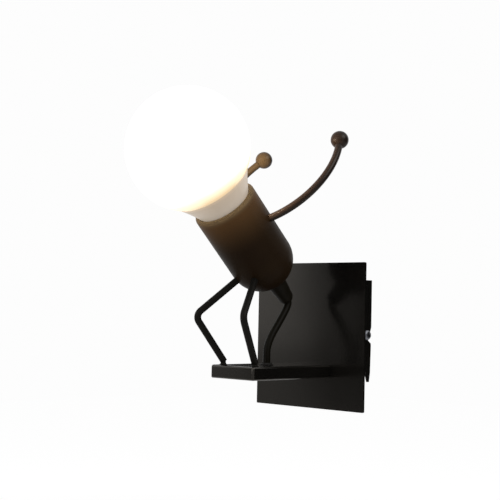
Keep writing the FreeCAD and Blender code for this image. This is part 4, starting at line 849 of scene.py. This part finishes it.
ledge = [[wall_at, LEDGE], [LEDGE_BORE, LEDGE], [LEDGE_BORE, LEDGE - LEDGE_THICK],
         [wall_at - 0.0009, LEDGE - LEDGE_THICK]]
collar_profile = np.vstack([outer_wall, above, ledge, under])
make_piece("ivory_collar", [revolve(collar_profile, sides=144)], "bulb", ivory,
           "bulb_collar", crease=40)

# %% [markdown]
# ## Screw cap and shell
# The cap's thread and the holder's sleeve are pressed from thin sheet with the same rounded
# wave, 7 turns to the inch, which is 3.629 mm. A wave of the radius with both the angle and
# the height is a helix: at any angle the crests are one pitch apart, and one turn moves them
# up by one pitch. Both waves share one phase, so the two threads mesh, and they go on meshing
# as the bulb turns and travels. A flat tab runs from the shell's foot to its rivet.

# %% Screw threads
PITCH, WAVE = 0.00363, 0.00055
BULB_LENGTH, PIP_END = 0.138, 0.0046
CAP_LOW = GLOBE_HEIGHT + GLOBE_RADIUS - BULB_LENGTH + PIP_END
CAP_RADIUS, CAP_SHEET, CAP_THREAD = 0.01265, 0.0003, (CAP_LOW + 0.0022, FOOT - 0.0032)
SHELL_RADIUS, SHELL_SHEET, SHELL_THREAD = 0.0131, 0.0004, (-0.0410, -0.0140)


def thread_wave(low, high):
    """What the thread adds to the radius: WAVE times the cosine of 2 pi h / pitch - angle,
    eased to nothing over a third of a pitch at both ends."""
    def wave(a, h):
        """The addition at angle a and height h."""
        ease = np.clip(np.minimum(h - low, high - h) / (PITCH / 3), 0, 1)
        return WAVE * ease * np.cos(2 * np.pi * h / PITCH - a)
    return wave


def thread_rows(radius, low, high):
    """The plain wall, with 16 rows a turn."""
    heights = np.linspace(low, high, int((high - low) / PITCH * 16))
    return np.column_stack([np.full(len(heights), radius), heights])


cap_profile = np.vstack([
    [[0.0106, CAP_LOW], [0.0118, CAP_LOW + 0.0008]], thread_rows(CAP_RADIUS, *CAP_THREAD),
    [[CAP_RADIUS, FOOT - 0.0018], [0.0131, FOOT - 0.0004], [0.0132, FOOT]]])
cap_grid = revolve(cap_profile, closed=False, wave=thread_wave(*CAP_THREAD))
cap = make_piece("threaded_cap", [cap_grid], "bulb", cap_metal,
                 "bulb_screw_cap", crease=70)
skin = cap.modifiers.new("sheet", "SOLIDIFY")
skin.thickness, skin.offset = CAP_SHEET, -1
inner_rows = thread_rows(SHELL_RADIUS, *SHELL_THREAD)
shell_rows = np.vstack([inner_rows, inner_rows[::-1] + [SHELL_SHEET, 0]])
sleeve = revolve(shell_rows, wave=thread_wave(*SHELL_THREAD))


def strip(outline, width):
    """A flat strip on the cup's axis: an outline of (across, height) points, extruded by
    half the width to either side of the plane that they lie in."""
    outline = np.asarray(outline, float)
    middle = np.broadcast_to(outline.mean(axis=0), outline.shape)
    rows = [(middle, -1), (outline, -1), (outline, 1), (middle, 1)]
    grid = np.stack([MOUTH + np.outer(edge[:, 0], ACROSS) + np.outer(edge[:, 1], OUT)
                     + side * width / 2 * UP_BACK for edge, side in rows])
    return grid, grid_faces(4, len(outline))


low = SHELL_THREAD[0]
tab = softened([[-0.0136, low], [-0.0045, low], [-0.0045, low + 0.0005],
                [-0.0136, low + 0.0005]], 0.0001)
make_piece("threaded_shell", [sleeve, strip(tab, 0.005)], "fixture", nickel,
           "screw_shell", crease=60)
print("thread crests are", PITCH * 1000, "mm apart")

# %% [markdown]
# ## Folded sheet, screws, nuts and the parts inside
# The plate, shelf, strap, fasteners, holder and wiring have the right shape in the measured
# solids, so they stay and only get their finish. Real sheet never has a sharp edge: it is
# deburred, and the paint draws back from it, so a bevel of a fraction of a millimetre rounds
# each one and catches a line of light. The solids' triangles are welded first, because a
# bevel needs faces that share their edges.

# %% Finishes on the measured solids
FINISH_OF = {
    "black_steel": sheet_enamel, "zinc_steel": zinc, "brass": brass, "nickelled_brass": nickel,
    "phenolic": phenolic, "black_nylon": grip_nylon, "black_rubber": rubber,
    "flex_sheath": sheath, "live_core": live_sheath, "neutral_core": neutral_sheath,
    "earth_core": earth_sheath, "opal_globe": opal, "ivory_plastic": ivory,
    "bulb_cap_metal": cap_metal, "black_glass": chip_glass, "white_board": white_board,
    "yellow_phosphor": phosphor, "green_board": green_board, "component_case": part_case,
    "white_nylon": clear_nylon}
for part in frame["record"]["subparts"]:
    mesh = frame["nodes"][part["node"]].data
    mesh.materials.clear()
    mesh.materials.append(FINISH_OF[part["material_slot"]])


def break_edges(node, width):
    """Welds the solid's triangles and rounds its edges of over 40 degrees to the width, or
    to less where the triangles are small."""
    solid = frame["nodes"][node]
    weld = solid.modifiers.new("weld", "WELD")
    weld.merge_threshold = MERGE
    bevel = solid.modifiers.new("edges", "BEVEL")
    bevel.width, bevel.segments = width, 3
    bevel.limit_method, bevel.angle_limit = "ANGLE", np.radians(40)
    bevel.harden_normals = True


for node, width in (("back_plate", 0.00035), ("shelf", 0.00020), ("wall_strap", 0.00030),
                    ("plate_lugs", 0.00030), ("terminal_block", 0.00040)):
    break_edges(node, width)
    print(node, "edges rounded to", width * 1000, "mm")

# %% [markdown]
# ## Floor
# The light hangs on a wall, so the floor is well below it. A pale matt paper keeps the
# object's soft shadow. Its grain is 4 mm wide, because a finer one wouldn't show. To the rays
# that see it, and to no others, it also gives off white, more of it away from the middle, so
# it runs into the background without a line. A paper curved up behind would hide the line
# too, but black gloss would show it as a second wall.

# %% Floor
def seen_ray(tree):
    """1 for camera, glossy and transmission rays, and 0 for the rays that light things."""
    path = add(tree, "LightPath")
    seen = path.outputs["Is Camera Ray"]
    for ray in ("Is Glossy Ray", "Is Transmission Ray"):
        seen = add(tree, "Math", {"operation": "MAXIMUM"}, _0=seen,
                   _1=path.outputs[ray]).outputs[0]
    return seen


def flat_card(name, width, height, material, level=0.0):
    """A rectangle at that level, in the scene and on no body of the object."""
    w, h = width / 2, height / 2
    mesh = bpy.data.meshes.new(name)
    mesh.from_pydata([(-w, -h, level), (w, -h, level), (w, h, level), (-w, h, level)], [],
                     [(0, 1, 2, 3)])
    mesh.materials.append(material)
    card = new_object(name, mesh)
    return card


WHITE = (1, 1, 1, 1)
FLOOR_LEVEL, FLOOR_SIZE = -0.45, 8.0
NEAR, FAR, NEAR_GLOW, FAR_GLOW = 0.5, 2.0, 0.30, 0.55
PAPER_GRAIN, PAPER_DEPTH = 0.004, 0.0001
floor_material, tree, shader = new_material("pale_paper_floor", Roughness=0.8,
                                            Specular_IOR_Level=0.0,
                                            Base_Color=paint("#e5e5e5"))
where = add(tree, "TexCoord").outputs["Object"]
grain = add(tree, "TexNoise", Vector=where, Scale=0.5 / PAPER_GRAIN).outputs["Fac"]
fill(shader, Normal=add(tree, "Bump", Height=grain, Distance=PAPER_DEPTH).outputs["Normal"])
away = add(tree, "VectorMath", {"operation": "LENGTH"}, _0=where).outputs["Value"]
glow = add(tree, "MapRange", Value=away, From_Min=NEAR, From_Max=FAR, To_Min=NEAR_GLOW,
           To_Max=FAR_GLOW).outputs["Result"]
strength = add(tree, "Math", {"operation": "MULTIPLY"}, _0=seen_ray(tree), _1=glow).outputs[0]
paper_white = add(tree, "Emission", Color=WHITE, Strength=strength).outputs[0]
fill(tree.nodes["Material Output"], Surface=add(
    tree, "AddShader", _0=shader.outputs[0], _1=paper_white).outputs[0])
flat_card("floor", FLOOR_SIZE, FLOOR_SIZE, floor_material, FLOOR_LEVEL)
print("floor", -FLOOR_LEVEL, "m below the light's middle")

# %% [markdown]
# ## White tent
# A catalogue picture is taken in a white tent: light comes from all round, and the background
# is white. The world is white where the camera, a reflection or a view through glass meets
# it, and weaker where it lights the object. One strength for both would either wash out the
# black metal or leave the background grey.

# %% White tent
TENT_LIGHT, BACKGROUND = 0.55, 0.982
world = bpy.data.worlds.new("white_tent")
world.use_nodes = True
bpy.context.scene.world = world
tree = world.node_tree
tree.nodes.clear()
ambient = add(tree, "Background", Color=WHITE, Strength=TENT_LIGHT).outputs[0]
white = add(tree, "Background", Color=WHITE, Strength=BACKGROUND).outputs[0]
add(tree, "OutputWorld", Surface=add(
    tree, "MixShader", _0=seen_ray(tree), _1=ambient, _2=white).outputs[0])
bpy.context.scene.view_settings.view_transform = "Standard"
print("the tent lights the object at", TENT_LIGHT, "and shows as", BACKGROUND)

# %% [markdown]
# ## Lamps and dark cards
# Two large soft lamps, high on the right and low in front, give the sheet and rods their
# shape, and a third from the right rounds the cup alone. A photographer also hangs dark cards
# out of the picture, so that black gloss has something black to mirror. They are made here as
# cards that only show in reflections: beside, below, in front of and behind the object, and
# one behind the camera.

# %% Lamps and dark cards
LIT_POINT = Vector((0, -0.07, 0))


def collection_of(name, pieces):
    """A collection outside the scene's own, which a lamp can be linked to."""
    group = bpy.data.collections.new(name)
    for piece in pieces:
        group.objects.link(bpy.data.objects[piece])
    return group


def face_the_light(thing, azimuth, elevation, distance):
    """Puts a lamp or card in that direction from LIT_POINT, with its front towards it."""
    way = Vector(camera_axes(azimuth, elevation, 0)[:, 2])
    thing.location = LIT_POINT + way * distance
    thing.rotation_euler = way.to_track_quat("Z", "Y").to_euler()


def soft_lamp(name, azimuth, elevation, distance, size, power, pieces=()):
    """A square area lamp that lights everything, or only the pieces named."""
    data = bpy.data.lights.new(name, "AREA")
    data.size, data.energy = size, power
    lamp = new_object(name, data)
    face_the_light(lamp, azimuth, elevation, distance)
    if pieces:
        lamp.light_linking.receiver_collection = collection_of(name + "_lights", pieces)
    print(name, "at", [round(v, 2) for v in lamp.location], power, "W")


def flag(name, azimuth, elevation, distance, width, height, tone):
    """A card of one grey that only shows in reflections."""
    material = new_material(name, Roughness=0.9, Base_Color=(0, 0, 0, 1),
                            Specular_IOR_Level=0.0, Emission_Color=(tone, tone, tone, 1),
                            Emission_Strength=1.0)[0]
    card = flat_card(name, width, height, material)
    face_the_light(card, azimuth, elevation, distance)
    card.visible_camera = card.visible_diffuse = card.visible_shadow = False


flag("side_flag", 134, 0, 1.6, 1.8, 1.8, 0.0)
flag("low_flag", -45, -17, 1.6, 1.8, 0.8, 0.4)
flag("front_flag", -30, 10, 1.5, 0.76, 1.6, 0.08)
flag("back_flag", 226, 6, 1.6, 1.0, 0.5, 0.02)
flag("camera_flag", 45, -3, 1.6, 1.6, 0.9, 0.15)
soft_lamp("key_lamp", 100, 40, 1.2, 0.7, 6)
soft_lamp("fill_lamp", -10, 15, 1.3, 0.9, 5)
soft_lamp("side_lamp", 125, 24, 1.0, 0.6, 2.3, ["lamp_cup_spun"])

# %% [markdown]
# ## Light of the bulb
# The lit globe warms the cup's mouth, the arms and the hands. One big spherical lamp would do
# it, but it leaves grain on surfaces this near. Small lamps give the same light without it:
# three at the globe's middle for the arms, and a ring inside the glass for the cup. Each group
# is linked to the pieces it is for, and the globe and the cup itself don't stop it. Only one
# of them shows in gloss, as the spark on the right hand.

# %% Light of the bulb
def bulb_glow(name, height, radius, power, colour, pieces, count=1, shines=False):
    """The lit bulb's light as a ring of small lamps in the globe, for the named pieces
    alone: mouth + height out + radius (cos a across + sin a up). Only the legs stop it, and
    gloss shows it only where shines is set."""
    lit, dark = collection_of(name + "_lights", pieces), collection_of(name + "_stops", LEGS)
    for turn in np.arange(count) * 2 * np.pi / count:
        data = bpy.data.lights.new(name, "POINT")
        data.shadow_soft_size, data.energy, data.color = LAMP_SIZE, power / count, colour
        lamp = new_object(name, data)
        lamp.location = (MOUTH + height * OUT + radius * (
            np.cos(turn) * ACROSS + np.sin(turn) * UP_BACK)).tolist()
        lamp.visible_camera, lamp.visible_glossy = False, shines
        lamp.light_linking.receiver_collection = lit
        lamp.light_linking.blocker_collection = dark
    print(name, count, "lamps,", power, "W")


LEGS = ("right_leg_rod", "left_leg_rod")
LAMP_SIZE, RING_HEIGHT, RING_RADIUS = 0.008, 0.041, 0.044
bulb_glow("glow_on_cup", RING_HEIGHT, RING_RADIUS, 0.7, (1.0, 0.88, 0.68), ["lamp_cup_spun"], 8)
for name, power, shines in (("glow_on_right_arm", 1.9, False), ("shine_on_right_arm", 0.9, True)):
    bulb_glow(name, GLOBE_HEIGHT, 0, power, (1.0, 0.82, 0.62),
              ["right_arm_rod", "right_hand_ball"], shines=shines)
bulb_glow("glow_on_left_arm", GLOBE_HEIGHT, 0, 13.0, (1.0, 0.90, 0.48),
          ["left_arm_rod", "left_hand_ball"])
